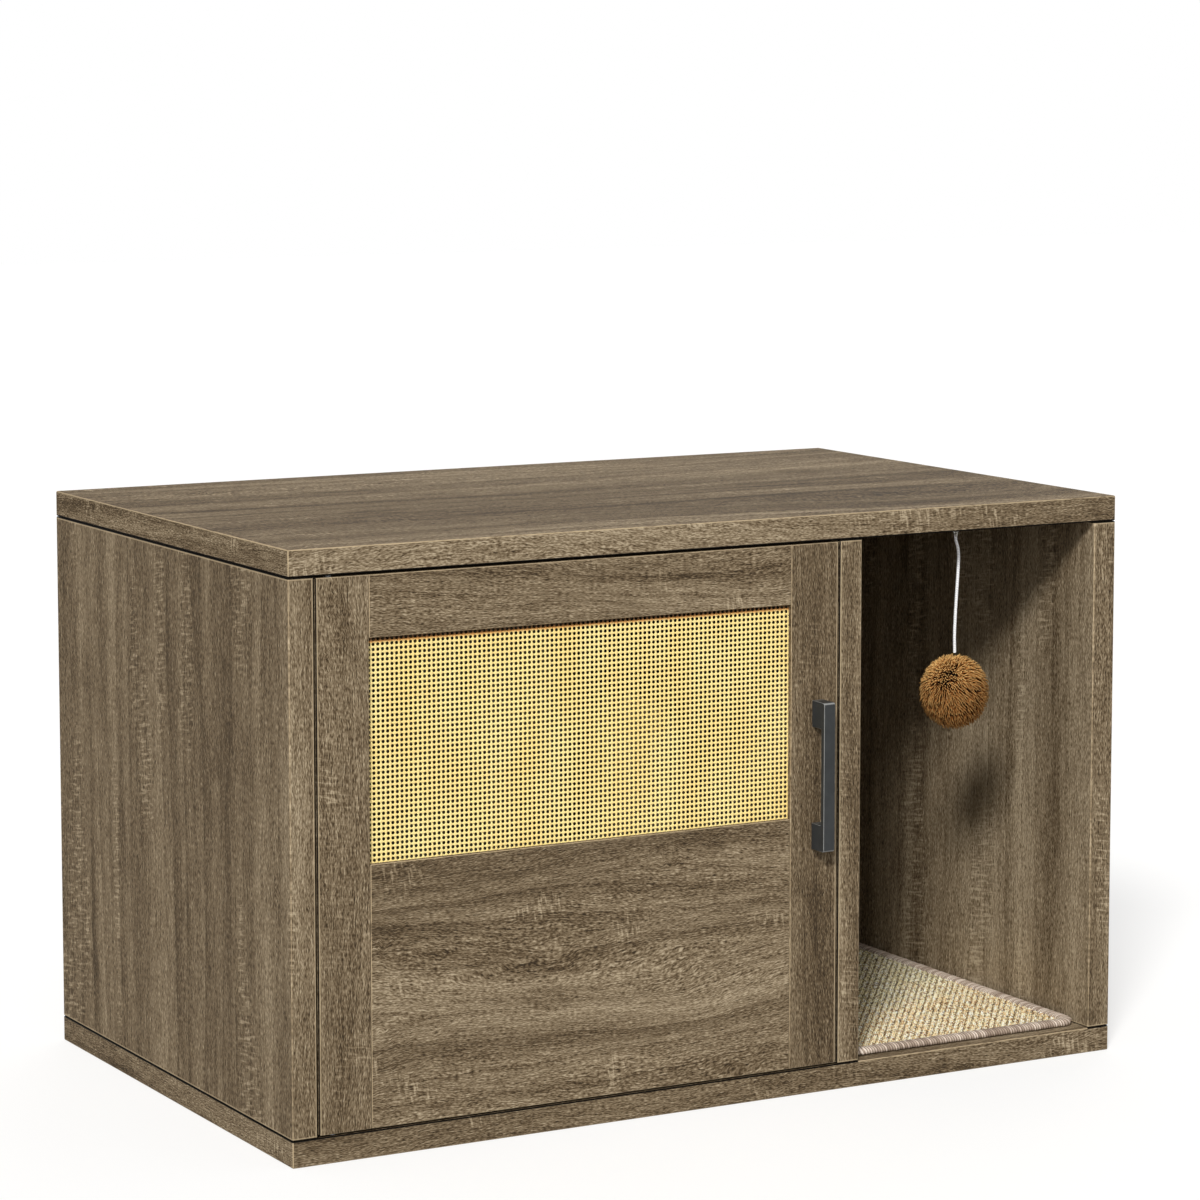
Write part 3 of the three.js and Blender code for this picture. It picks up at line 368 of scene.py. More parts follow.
def seen_directly(g):
    """1 for rays from the camera, and for mirrored and transmitted ones."""
    path = g.node("LightPath").outputs
    mirror = g.math("MAXIMUM", path["Is Glossy Ray"], path["Is Transmission Ray"])
    return g.math("MAXIMUM", path["Is Camera Ray"], mirror)


def make_world():
    world = bpy.data.worlds.new("studio")
    bpy.context.scene.world = world
    world.use_nodes = True
    g = Graph(world.node_tree)
    light = g.node("Background", {"Color": (*LIGHT_COLOUR, 1), "Strength": AMBIENT})
    white = g.node("Background", {"Color": (1, 1, 1, 1), "Strength": 1.0})
    mixed = g.node(
        "MixShader", {0: seen_directly(g), 1: light.outputs[0], 2: white.outputs[0]}
    )
    g.node("OutputWorld", {0: mixed.outputs[0]})


def make_floor():
    corners = ((-1, -1), (1, -1), (1, 1), (-1, 1))
    points = [(x * FLOOR_REACH, y * FLOOR_REACH, 0) for x, y in corners]
    floor = mesh_object("floor", points, [(0, 1, 2, 3)], smooth=False)
    material, g = new_material("floor")
    glow = g.node("Emission", {"Color": (1, 1, 1, 1), "Strength": FLOOR_GLOW})
    paint = g.node("BsdfDiffuse", {"Color": FLOOR_SEEN})
    shown = g.node("MixShader", {0: 0.5, 1: glow.outputs[0], 2: paint.outputs[0]})
    dull = g.node("BsdfDiffuse", {"Color": FLOOR_DULL})
    mixed = g.node(
        "MixShader", {0: seen_directly(g), 1: dull.outputs[0], 2: shown.outputs[0]}
    )
    g.node("OutputMaterial", {0: mixed.outputs[0]})
    floor.data.materials.append(material)


def make_light(name, direction, strength, spread):
    lamp = bpy.data.lights.new(name, "SUN")
    lamp.energy = strength
    lamp.angle = math.radians(spread)
    lamp.color = LIGHT_COLOUR
    light = bpy.data.objects.new(name, lamp)
    light.rotation_euler = Vector(direction).to_track_quat("-Z", "Y").to_euler()
    bpy.context.scene.collection.objects.link(light)


make_world()
make_floor()
make_light("key", *KEY_LIGHT)
make_light("front", *FRONT_LIGHT)
make_light("back", *BACK_LIGHT)

# ----------------------------------------
# Materials
# ----------------------------------------

# The oak print's colours from its darkest tone to its palest.
OAK_TONES = [
    (0.0, srgb(55, 46, 36)),
    (0.25, srgb(86, 71, 52)),
    (0.5, srgb(121, 105, 83)),
    (0.75, srgb(150, 134, 109)),
    (1.0, srgb(184, 168, 142)),
]
OAK_WEAR_AND_HIGHLIGHT = srgb(190, 170, 138)
OAK_JOINT_SHADE = srgb(10, 8, 6)


def oak_group():
    """Oak print. Grain runs along the input vector's X, and its Y and Z lie across."""
    group = bpy.data.node_groups.new("oak_print", "ShaderNodeTree")
    for way, kind, names in (
        ("INPUT", "Vector", ("Place",)),
        ("INPUT", "Float", ("Figure", "Ladder", "Tone", "Seam", "PaintedHighlight", "Opening")),
        ("OUTPUT", "Color", ("Color",)),
        ("OUTPUT", "Float", ("Roughness", "Height")),
    ):
        kind = "NodeSocket" + kind
        for name in names:
            group.interface.new_socket(name, in_out=way, socket_type=kind)
    g = Graph(group)
    given = group.nodes.new("NodeGroupInput").outputs
    place = given["Place"]
    u, p, q = g.split(place)
    across = g.add(p, q)

    # The flow of the grain: straight lines, bent by a wide wave and a fine one.
    wave = g.noise(g.stretch(place, (1.5, 6.5, 6.5)), detail=1.5, roughness=0.4)
    wave = g.times(g.centred(wave, 0.17), given["Figure"])
    sway = g.centred(g.noise(g.stretch(place, (12, 34, 34))), 0.012)
    sway = g.times(sway, g.math("MULTIPLY_ADD", given["Figure"], 0.8, 0.2))
    spots = g.noise(g.stretch(place, (9, 26, 26), (3, 1, 4)), detail=1)
    spots = g.step(spots, 0.62, 0.7)
    ripple = g.noise(g.stretch(place, (130, 80, 80)))
    ripple = g.times(g.centred(ripple, 0.006), spots)
    quiver = g.noise(g.stretch(place, (60, 130, 130), (8, 3, 6)), detail=1)
    flow = g.add(across, wave, sway, ripple, g.centred(quiver, 0.0016))

    def along_flow(along, over, shift, detail=2.0, roughness=0.5):
        """Noise with features 1/along long and 1/over wide that follow the grain."""
        onward = g.math("MULTIPLY_ADD", u, along, shift)
        vector = g.vector(onward, g.times(flow, over), shift)
        return g.noise(vector, detail=detail, roughness=roughness)

    broad = along_flow(0.9, 17, 2.3)
    band_over = g.math("MULTIPLY_ADD", given["Ladder"], -20, 56)
    band = along_flow(2.0, band_over, 5.1, detail=1.5)
    # Growth rings, each darkening slowly up to a crisp edge.
    uneven = g.times(along_flow(1.2, 12, 4.8), 2.4)
    ring = g.math("FRACT", g.add(g.times(flow, 36), uneven))
    ring_patch = g.step(along_flow(2.5, 14, 3.3), 0.33, 0.6)
    rings = g.times(g.math("SUBTRACT", 0.33, g.times(ring, ring)), ring_patch)
    streak = g.step(along_flow(9, 115, 8.6), 0.43, 0.29)
    line = along_flow(10, 330, 1.7, detail=2.5, roughness=0.6)
    line_patch = g.step(along_flow(3.5, 40, 6.4), 0.3, 0.6)

    # Fine embossed fibres all over, long and short, with short dark pores among them.
    hair = along_flow(48, 950, 9.7, detail=1.0)
    fibres = along_flow(240, 1300, 3.9, detail=1.0)
    pores = g.step(along_flow(150, 1350, 7.2, detail=1.0), 0.60, 0.72)
    glints = g.step(along_flow(130, 1150, 4.4, detail=1.0), 0.60, 0.74)

    # Thin light strokes square to the grain, in long columns or short patches.
    columns = g.noise(g.stretch(place, (2.4, 17, 17), (1, 8, 3)), detail=1.5)
    columns = g.times(g.step(columns, 0.54, 0.62), 0.85)
    patches = g.noise(g.stretch(place, (13, 24, 24), (6, 2, 9)), detail=1.5)
    patches = g.step(patches, 0.58, 0.70)
    more = g.math("SUBTRACT", columns, patches)
    patch = g.math("MULTIPLY_ADD", more, given["Ladder"], patches)
    slant = g.math("MULTIPLY_ADD", across, 0.16, u)
    stroke_place = g.vector(g.times(slant, 330), g.times(across, 46), 2.0)
    strokes = g.noise(stroke_place, detail=1.5, roughness=0.6)
    light_strokes = g.times(g.step(strokes, 0.53, 0.63), patch)
    dark_strokes = g.times(g.step(strokes, 0.46, 0.36), patch)

    # A strongly figured board shows its broad bands and fine dark lines the most.
    bands = g.add(g.centred(broad, 0.9), g.times(g.centred(line, 0.32), line_patch))
    bands = g.times(bands, g.math("MULTIPLY_ADD", given["Figure"], 0.6, 0.5))
    narrow = g.math("MULTIPLY_ADD", given["Figure"], -0.2, 0.56)
    tone = g.add(
        0.56,
        given["Tone"],
        bands,
        g.times(g.centred(band, 1.0), narrow),
        g.times(rings, 0.17),
        g.times(streak, -0.05),
        g.centred(hair, 0.85),
        g.centred(fibres, 1.6),
        g.times(pores, -0.32),
        g.times(glints, 0.25),
        g.times(light_strokes, 0.32),
        g.times(dark_strokes, -0.12),
        g.times(spots, -0.08),
    )
    colour = g.ramp(tone, OAK_TONES)

    # The thin rounding along each edge is painted paler, partly as wear and partly as a
    # painted highlight, and a joint is painted dark inside, as painted shade. The wall
    # of an opening also curves, so on such a board an edge has to face sideways.
    facing, most = facing_parts(g)
    sideways = g.step(facing[0], 0.05, 0.2)
    pale_edge_allowed = g.math("MAXIMUM", sideways, g.math("SUBTRACT", 1.0, given["Opening"]))
    wear_and_highlight_breakup = g.noise(g.stretch(place, (60, 60, 60)))
    edge = g.times(g.step(most, 0.97, 0.8), g.step(wear_and_highlight_breakup, 0.2, 0.5))
    edge = g.times(edge, pale_edge_allowed)
    edge = g.times(edge, g.math("MULTIPLY_ADD", given["Ladder"], -0.4, 0.8))
    # Painted highlight, partly wear: the roundings, and a thin line outside each joint
    # of an upright board, are blended pale.
    colour = g.blend(edge, colour, OAK_WEAR_AND_HIGHLIGHT)
    colour = g.blend(given["PaintedHighlight"], colour, OAK_WEAR_AND_HIGHLIGHT)
    # Painted shade: the inside of a joint is blended near black.
    colour = g.blend(given["Seam"], colour, OAK_JOINT_SHADE)

    roughness = g.add(0.5, g.centred(fibres, 0.25), g.times(pores, 0.12))
    height = g.add(g.times(hair, 0.7), g.times(fibres, 0.6), g.times(line, 0.2))
    height = g.add(height, g.times(pores, -0.5), g.times(glints, 0.3))
    out = group.nodes.new("NodeGroupOutput")
    g.put(out.inputs["Color"], colour)
    g.put(out.inputs["Roughness"], roughness)
    g.put(out.inputs["Height"], height)
    return group


OAK = oak_group()
DOOR_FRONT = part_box("door_left_stile")[0][1]
# How far behind the door's front the painted shade of the gaps beside it fades out.
GAP_SHADE_FADES = (0.003, 0.006)
# How far a joint's line of painted shade fades on either side, and next to a stretch
# without a joint.
JOINT_SHADE_FADE = 0.0003
BARE_FADE = 0.0005
# How far outside a joint its painted highlight fades out, and how strong it is.
JOINT_HIGHLIGHT = (0.0008, 0.0016)
HIGHLIGHT_STRENGTH = 0.6


def oak_material(
    name,
    along,
    seed,
    figure,
    tone=0.0,
    lift=0.0,
    ends=None,
    gloss=0.66,
    seams=(),
    bare=None,
    ladder=1.0,
    opening=0.0,
):
    """`along` is the grain's axis, and `ends` is that on the faces square to it.

    `lift` is extra tone on the front and back faces, painted light and shade that sets
    them lighter or darker than the board's other faces. `seams` lists the joints with
    the neighbours, which get a line of painted shade: an axis, the joint's place on it,
    and the half width. `bare` is a stretch of X without a joint. `ladder` is the share
    of long columns of strokes on an upright board. `opening` is 1 on a board with an
    opening.
    """
    material, g = new_material(name)
    axes = g.split(g.place())

    def turned(axis, shift):
        """The place with the grain's axis first, in a part of the print of its own."""
        first = "xyz".index(axis)
        picked = [axes[(first + i) % 3] for i in range(3)]
        shifts = (shift, shift * 1.7, shift * 0.6)
        return g.vector(*[g.math("ADD", a, b) for a, b in zip(picked, shifts)])

    facing = facing_parts(g)[0]
    front = g.step(facing[1], 0.7, 0.8)
    vector = turned(along, seed)
    if ends:
        mix = g.node("Mix", data_type="VECTOR")
        g.put(mix.inputs[0], g.step(facing["xyz".index(along)], 0.7, 0.8))
        g.put(mix.inputs[4], vector)
        g.put(mix.inputs[5], turned(ends, seed + 5))
        vector = mix.outputs[1]
    # Each joint is a line of painted shade, with a thin painted highlight outside it on
    # an upright board.
    upright = along == "z"
    dark = rim = 0.0
    for axis, joint, half in seams:
        i = "xyz".index(axis)
        away = g.math("ABSOLUTE", g.math("SUBTRACT", axes[i], joint))
        beside = g.step(facing[i], 0.995, 0.97)
        if axis == "x":
            near, far = (DOOR_FRONT + depth for depth in GAP_SHADE_FADES)
            beside = g.times(beside, g.step(axes[1], far, near))
        if bare:
            outside = g.math("ABSOLUTE", g.math("SUBTRACT", axes[0], sum(bare) / 2))
            half_bare = (bare[1] - bare[0]) / 2
            beside = g.times(beside, g.step(outside, half_bare, half_bare + BARE_FADE))
        line = g.times(g.step(away, half + JOINT_SHADE_FADE, half - JOINT_SHADE_FADE), beside)
        pale = g.times(g.step(away, half + JOINT_HIGHLIGHT[1], half + JOINT_HIGHLIGHT[0]), beside)
        dark = g.math("MAXIMUM", dark, line)
        rim = g.math("MAXIMUM", rim, g.times(pale, HIGHLIGHT_STRENGTH if upright else 0.0))
    print_node = material.node_tree.nodes.new("ShaderNodeGroup")
    print_node.node_tree = OAK
    # The front and back faces get `lift` on top of `tone`, as painted light and shade.
    for key, value in (
        ("Place", vector),
        ("Figure", figure),
        ("Ladder", ladder if upright else 0.0),
        ("Tone", g.math("MULTIPLY_ADD", front, lift, tone)),
        ("Seam", dark),
        ("PaintedHighlight", rim),
        ("Opening", opening),
    ):
        g.put(print_node.inputs[key], value)
    finish_material(
        g,
        print_node.outputs["Color"],
        g.add(print_node.outputs["Roughness"], gloss - 0.5),
        print_node.outputs["Height"],
        bump=0.35,
        depth=0.0004,
        Specular_IOR_Level=0.05,
    )
    return material


# Joints: over and under the upright boards, and on either side of the door.
TOP_JOINT = ("z", 0.535, 0.0015)
BOTTOM_JOINT = ("z", 0.025, 0.0012)
HINGE_GAP = ("x", -0.4242, 0.0017)
LATCH_GAP = ("x", 0.1267, 0.0017)
# Painted light and shade: `lift` sets a board's front and back faces lighter or darker
# than its other faces for how the light falls on them, and the top and left side panels
# take a lower `tone` for the same reason.
BOARDS = {
    "top_panel": dict(
        along="x", seed=1.3, figure=0.8, ends="y", tone=-0.14, lift=0.11, gloss=0.78,
        seams=(TOP_JOINT,),
    ),
    "bottom_panel": dict(
        along="x", seed=4.1, figure=0.8, ends="y", tone=-0.03, seams=(BOTTOM_JOINT,),
        bare=(0.1525, 0.4245),
    ),
    "left_side_panel": dict(
        along="z", seed=7.7, figure=0.3, tone=-0.13, lift=0.06,
        seams=(TOP_JOINT, BOTTOM_JOINT, HINGE_GAP),
    ),
    "right_side_panel": dict(
        along="z", seed=9.2, figure=0.35, tone=0.02, lift=-0.19,
        seams=(TOP_JOINT, BOTTOM_JOINT),
    ),
    "divider_panel": dict(
        along="z", seed=2.6, figure=0.3, tone=-0.09, lift=0.05,
        seams=(TOP_JOINT, BOTTOM_JOINT, LATCH_GAP), ladder=0.3, opening=1.0,
    ),
    "door_left_stile": dict(
        along="z", seed=5.5, figure=0.5, tone=-0.01, ladder=0.4, seams=(HINGE_GAP,)
    ),
    "door_right_stile": dict(
        along="z", seed=6.4, figure=0.6, tone=-0.17, ladder=0.4, seams=(LATCH_GAP,)
    ),
    "door_top_rail": dict(along="x", seed=3.2, figure=1.0, tone=-0.18),
    "door_lower_panel": dict(along="x", seed=8.3, figure=1.05, tone=-0.02),
    "back_panel": dict(along="z", seed=11.2, figure=0.5, tone=0.08),
    "cane_bead_top": dict(along="x", seed=12.1, figure=0.4),
    "cane_bead_bottom": dict(along="x", seed=12.9, figure=0.4),
    "cane_bead_left": dict(along="z", seed=13.4, figure=0.4),
    "cane_bead_right": dict(along="z", seed=13.8, figure=0.4),
}


def metal_material(name, colour, roughness):
    """Plated or plain metal with a fine, uneven sheen."""
    material, g = new_material(name)
    place = g.place()
    speckle = g.noise(place, scale=900, detail=3)
    patch = g.noise(place, scale=130)
    darker = srgb(*[part * 0.86 for part in colour])
    shade = g.blend(g.step(patch, 0.35, 0.7), srgb(*colour), darker)
    rough = g.add(roughness, g.centred(patch, 0.16), g.centred(speckle, 0.12))
    finish_material(g, shade, rough, speckle, 0.05, 0.0002, Metallic=1.0)
    return material


def handle_material():
    """Charcoal powder coat: a fine matt stipple, with edges paler as wear and painted
    highlight.
    """
    material, g = new_material("charcoal_coat")
    place = g.place()
    stipple = g.noise(place, scale=2600)
    cloud = g.noise(place, scale=60)
    # Painted highlight, partly wear: the roundings are blended towards pale grey.
    edge = g.times(g.step(facing_parts(g)[1], 0.97, 0.8), 0.8)
    base = g.blend(g.step(cloud, 0.35, 0.7), srgb(48, 50, 51), srgb(54, 56, 57))
    colour = g.blend(edge, base, srgb(150, 151, 150))
    rough = g.add(0.52, g.centred(stipple, 0.2))
    finish_material(g, colour, rough, stipple, 0.12, 0.0002, Specular_IOR_Level=0.2)
    return material


def nylon_material():
    material, g = new_material("pale_nylon")
    place = g.place()
    cloud = g.noise(place, scale=240, detail=3)
    colour = g.blend(cloud, srgb(238, 236, 228), srgb(218, 215, 204))
    rough = g.add(0.42, g.centred(cloud, 0.2))
    finish_material(g, colour, rough, cloud, 0.08, 0.0003)
    return material


def cane_material():
    material, g = new_material("cane")
    place = g.place()
    zone = g.noise(g.stretch(place, (26, 26, 9)), detail=3)
    grain = g.noise(g.stretch(place, (900, 900, 900)))
    zone = g.step(zone, 0.35, 0.65)
    colour = g.blend(zone, srgb(255, 240, 164), srgb(255, 231, 148))
    strip = g.times(g.attribute("tone"), 0.25)
    colour = g.blend(strip, colour, srgb(252, 212, 130))
    crossing = g.times(g.step(g.attribute("cross"), 0.3, 0.9), 0.6)
    colour = g.blend(crossing, colour, srgb(255, 218, 148))
    streak = g.times(g.step(grain, 0.55, 0.8), 0.25)
    colour = g.blend(streak, colour, srgb(244, 190, 104))
    # Painted shade: an orange band along the window's edges and a dark one under the
    # rail.
    colour = g.blend(g.attribute("rim"), colour, srgb(226, 136, 48))
    colour = g.blend(g.attribute("rail_shadow"), colour, srgb(34, 24, 14))
    rough = g.add(0.45, g.centred(grain, 0.25))
    finish_material(g, colour, rough, grain, 0.3, 0.0002, Specular_IOR_Level=0.3)
    return material


def cord_material():
    material, g = new_material("white_cord")
    place = g.place()
    turns = g.node(
        "TexWave",
        {"Vector": place, "Scale": 260.0, "Distortion": 1.5},
        bands_direction="DIAGONAL",
    ).outputs[1]
    cloud = g.noise(place, scale=700)
    colour = g.blend(turns, srgb(250, 250, 250), srgb(222, 224, 228))
    rough = g.add(0.5, g.centred(cloud, 0.2))
    finish_material(g, colour, rough, turns, 0.35, 0.0002, Sheen_Weight=0.3)
    return material


# Painted shade: the pompom is a little darker over its lower half, between these
# heights.
POMPOM_SHADE_STARTS = 0.396
POMPOM_SHADE_FULL = 0.372


def pompom_material():
    material, g = new_material("pompom_yarn")
    place = g.place()
    # Painted shade: the yarn runs from near black at the root to pale at the tip, for
    # the shade deep inside the pompom.
    colour = g.ramp(
        g.attribute("tip"),
        [
            (0.0, srgb(20, 10, 4)),
            (0.4, srgb(84, 48, 20)),
            (0.75, srgb(212, 148, 81)),
            (1.0, srgb(255, 214, 140)),
        ],
    )
    # The strand tone darkens the yarn, partly at random and partly as painted shade.
    colour = g.blend(g.attribute("tone"), colour, srgb(152, 127, 104), "MULTIPLY")
    # Painted shade: darker towards the bottom.
    low = g.step(g.split(place)[2], POMPOM_SHADE_STARTS, POMPOM_SHADE_FULL)
    colour = g.blend(low, colour, srgb(216, 209, 205), "MULTIPLY")
    fuzz = g.noise(place, scale=1800)
    rough = g.add(0.85, g.centred(fuzz, 0.15))
    finish_material(g, colour, rough, fuzz, 0.4, 0.0003, Specular_IOR_Level=0.1)
    return material


def mat_material():
    material, g = new_material("woven_sisal")
    tone = g.attribute("tone")
    place = g.place()
    # The yarn turns from warm to greyish along a slanting line, unevenly.
    x, y, _ = g.split(place)
    cloud = g.noise(g.stretch(place, (14, 10, 10)))
    zone = g.add(y, g.times(x, -0.43), 0.255, g.centred(cloud, 0.16))
    warm = g.ramp(
        tone,
        [
            (0.0, srgb(255, 255, 244)),
            (0.3, srgb(255, 248, 214)),
            (0.55, srgb(252, 232, 180)),
            (0.75, srgb(236, 200, 144)),
            (0.87, srgb(164, 118, 74)),
            (1.0, srgb(60, 46, 32)),
        ],
    )
    cool = g.ramp(
        tone,
        [
            (0.0, srgb(255, 255, 250)),
            (0.3, srgb(252, 247, 212)),
            (0.6, srgb(238, 228, 174)),
            (0.82, srgb(152, 148, 122)),
            (1.0, srgb(44, 44, 40)),
        ],
    )
    colour = g.blend(g.times(g.step(zone, -0.02, 0.05), 0.8), warm, cool)
    fibre = g.noise(g.stretch(place, (900, 500, 600)))
    dark = g.times(g.step(fibre, 0.55, 0.68), 0.5)
    pale = g.times(g.step(fibre, 0.44, 0.34), 0.5)
    colour = g.blend(dark, colour, srgb(160, 120, 74))
    colour = g.blend(pale, colour, srgb(255, 254, 244))
    rough = g.add(0.85, g.centred(fibre, 0.15))
    finish_material(g, colour, rough, fibre, 0.6, 0.0004, Specular_IOR_Level=0.2)
    return material


def ground_material():
    material, g = new_material("mat_ground")
    place = g.place()
    weave = g.noise(g.stretch(place, (380, 700, 400)))
    colour = g.blend(weave, srgb(74, 60, 38), srgb(140, 118, 80))
    rough = g.add(0.9, g.centred(weave, 0.1))
    finish_material(g, colour, rough, weave, 0.5, 0.0006, Specular_IOR_Level=0.1)
    return material


def binding_material():
    material, g = new_material("yarn_binding")
    place = g.place()
    colour = g.ramp(
        g.attribute("tone"),
        [
            (0.0, srgb(66, 54, 47)),
            (0.35, srgb(138, 120, 105)),
            (0.7, srgb(198, 181, 165)),
            (1.0, srgb(248, 236, 222)),
        ],
    )
    fuzz = g.noise(place, scale=1500, detail=3)
    shed = g.times(g.step(fuzz, 0.45, 0.75), 0.35)
    colour = g.blend(shed, colour, srgb(120, 98, 84))
    rough = g.add(0.88, g.centred(fuzz, 0.12))
    finish_material(g, colour, rough, fuzz, 0.5, 0.0004, Specular_IOR_Level=0.15)
    return material


ZINC = metal_material("zinc_plate", (176, 176, 170), 0.38)
STEEL = metal_material("plain_steel", (140, 142, 146), 0.33)
NYLON = nylon_material()


def dress(node, material):
    mesh = NODES[node].data
    mesh.materials.clear()
    mesh.materials.append(material)


OAK_OF = {board: oak_material(f"oak_{board}", **look) for board, look in BOARDS.items()}
for board, material in OAK_OF.items():
    dress(board, material)
dress("handle", handle_material())
for node in NODES:
    if node.startswith("cam_lock") or node in ("strike_plate", "screw_eye"):
        dress(node, ZINC)
    elif "screw" in node or node.startswith(("cam_bolt", "pivot_pin")):
        dress(node, STEEL)
    elif node.startswith("pivot_bush") or node in ("magnetic_catch", "hanging_ring"):
        dress(node, NYLON)

# ----------------------------------------
# Stick-on discs with the boards' print, over the cam fittings
# ----------------------------------------

COVER_RADIUS = 0.0095
COVER_THICKNESS = 0.0004
COVER_SIDES = 40
# Share of the radius and of the thickness, from the face out and in to the middle.
COVER_PROFILE = ((1.0, 0.05), (0.99, 0.6), (0.96, 0.92), (0.9, 1.0), (0.01, 1.0))
# Board, X of the face that the fittings open on, and the way this face looks.
COVERED_FACES = (
    ("left_side_panel", -0.425, 1),
    ("divider_panel", 0.1275, -1),
    ("right_side_panel", 0.425, -1),
)


def make_covers():
    turn = full_turn(COVER_SIDES)
    for board, face, way in COVERED_FACES:
        place = board.split("_")[0]
        parts = []
        for row in ("front", "rear"):
            low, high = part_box(f"cam_lock_{place}_{row}")
            y, z = (low[1] + high[1]) / 2, (low[2] + high[2]) / 2
            rings = [
                np.stack(
                    [
                        np.full(COVER_SIDES, face + way * COVER_THICKNESS * out),
                        y + COVER_RADIUS * share * np.cos(turn),
                        z + COVER_RADIUS * share * np.sin(turn),
                    ],
                    -1,
                )
                for share, out in COVER_PROFILE
            ]
            faces = capped_faces(len(rings), COVER_SIDES)
            if way < 0:
                faces = [f[::-1] for f in faces]
            parts.append((np.concatenate(rings), faces, {}))
        points, faces, _ = join_parts(parts)
        cover = mesh_object(f"cam_covers_{place}", points, faces)
        cover.data.materials.append(OAK_OF[board])
        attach(cover, "carcass")


make_covers()

# ----------------------------------------
# Cane webbing
# ----------------------------------------

WINDOW_X = (-0.3709, 0.0734)
WINDOW_Z = (0.2701, 0.4761)
CANE_Y = -0.2691
CANE_COLUMNS = 95
CANE_ROWS = 44
# Lines of the webbing that run on behind the frame, at each side.
CANE_TUCKED = 2
CANE_WAVE = 0.0003
STRIP_HALF_THICKNESS = 0.00022
STRIP_WIDTH_OPEN = 0.0015
STRIP_WIDTH_CROSSED = 0.0034
# Across a strip: shares of its half width and of its half thickness.
STRIP_SECTION = np.array(
    [(-1, 0), (-0.72, 1), (0.72, 1), (1, 0), (0.72, -1), (-0.72, -1)], float
)
# Painted shade: the webbing is painted dark this far under the rail, where its shadow
# falls, and orange this far further on.
RAIL_SHADOW_WIDTH = 0.0034
EDGE_SHADE_WIDTH = 0.0016
SHADE_BAND_FADE = 0.001


def cane_strips(window, pitch, other_window, other_pitch, sign):
    """Strips of one direction that wave over and under those of the other direction."""
    count = round((window[1] - window[0]) / pitch)
    lines = np.arange(-CANE_TUCKED, count + CANE_TUCKED + 1)
    count = round((other_window[1] - other_window[0]) / other_pitch)
    steps = np.arange(-2 * CANE_TUCKED, 2 * (count + CANE_TUCKED) + 1) / 2
    over = np.cos(math.pi * steps)
    crossed = np.abs(over)
    width = STRIP_WIDTH_OPEN + (STRIP_WIDTH_CROSSED - STRIP_WIDTH_OPEN) * crossed
    across = STRIP_SECTION[None, :, 0] * width[:, None] / 2
    thick = STRIP_SECTION[None, :, 1] * STRIP_HALF_THICKNESS
    at = other_window[0] + steps * other_pitch
    onward = np.broadcast_to(at[:, None], across.shape)
    for line in lines:
        wave = sign * CANE_WAVE * over * (-1.0) ** line
        sideways = window[0] + line * pitch + across
        yield sideways, CANE_Y + wave[:, None] + thick, onward, crossed


def painted_shade_band(inside):
    """1 where a point lies well inside a band of painted shade, and 0 where it lies
    well outside.
    """
    return np.clip(inside / SHADE_BAND_FADE + 0.5, 0, 1)


def make_cane():
    pitch_x = (WINDOW_X[1] - WINDOW_X[0]) / CANE_COLUMNS
    pitch_z = (WINDOW_Z[1] - WINDOW_Z[0]) / CANE_ROWS
    parts = []
    runs = (
        ("z", (WINDOW_X, pitch_x, WINDOW_Z, pitch_z, -1)),
        ("x", (WINDOW_Z, pitch_z, WINDOW_X, pitch_x, 1)),
    )
    for axis, run in runs:
        for sideways, depth, onward, crossed in cane_strips(*run):
            if axis == "z":
                points = np.stack([sideways, depth, onward], -1)
            else:
                points = np.stack([onward, depth, sideways], -1)
            rings, sides = points.shape[:2]
            faces = capped_faces(rings, sides)
            points = points.reshape(-1, 3)
            # The orange painted shade also runs down along the left stile.
            below = WINDOW_Z[1] - points[:, 2]
            inward = points[:, 0] - WINDOW_X[0]
            near = np.minimum(inward, below - RAIL_SHADOW_WIDTH)
            values = {
                "tone": RNG.random() ** 2,
                "cross": np.repeat(crossed, sides),
                "rail_shadow": 0.85 * painted_shade_band(RAIL_SHADOW_WIDTH - below),
                "rim": 0.8 * painted_shade_band(EDGE_SHADE_WIDTH - near),
            }
            parts.append((points, faces, values))
    points, faces, values = join_parts(parts)
    cane = mesh_object("cane_mesh", points, faces, **values)
    cane.data.materials.append(cane_material())
    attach(cane, "door")
    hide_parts("cane_webbing")


make_cane()

# ----------------------------------------
# Pompom
# ----------------------------------------

POMPOM_RADIUS = 0.0355
POMPOM_HALF_HEIGHT = 0.0383
POMPOM_CENTRE = (TOY_X, TOY_Y, 0.3706)
STRANDS = 3000
STRAND_HALF_WIDTH = 0.00053
# Along a strand: share of its length, share of its width, and how near the tip it is.
STRAND_LEVELS = ((0.6, 0.5, 0.0), (0.8, 0.9, 0.3), (0.95, 1.0, 0.85), (1.0, 0.5, 1.0))
STRAND_SIDES = 3
TUFTS = 200
CORE_SHARE = 0.7
# How far a strand leans from straight out, between its root and its tip.
STRAND_LEAN = (0.7, -0.1, -1.0)
# Painted light and shade: strands that point this way are toned paler, and those that
# point away are toned darker.
PAINTED_LIGHT_WAY = (-0.45, -0.1, 0.89)


def unit(vectors):
    return vectors / np.linalg.norm(vectors, axis=-1, keepdims=True)


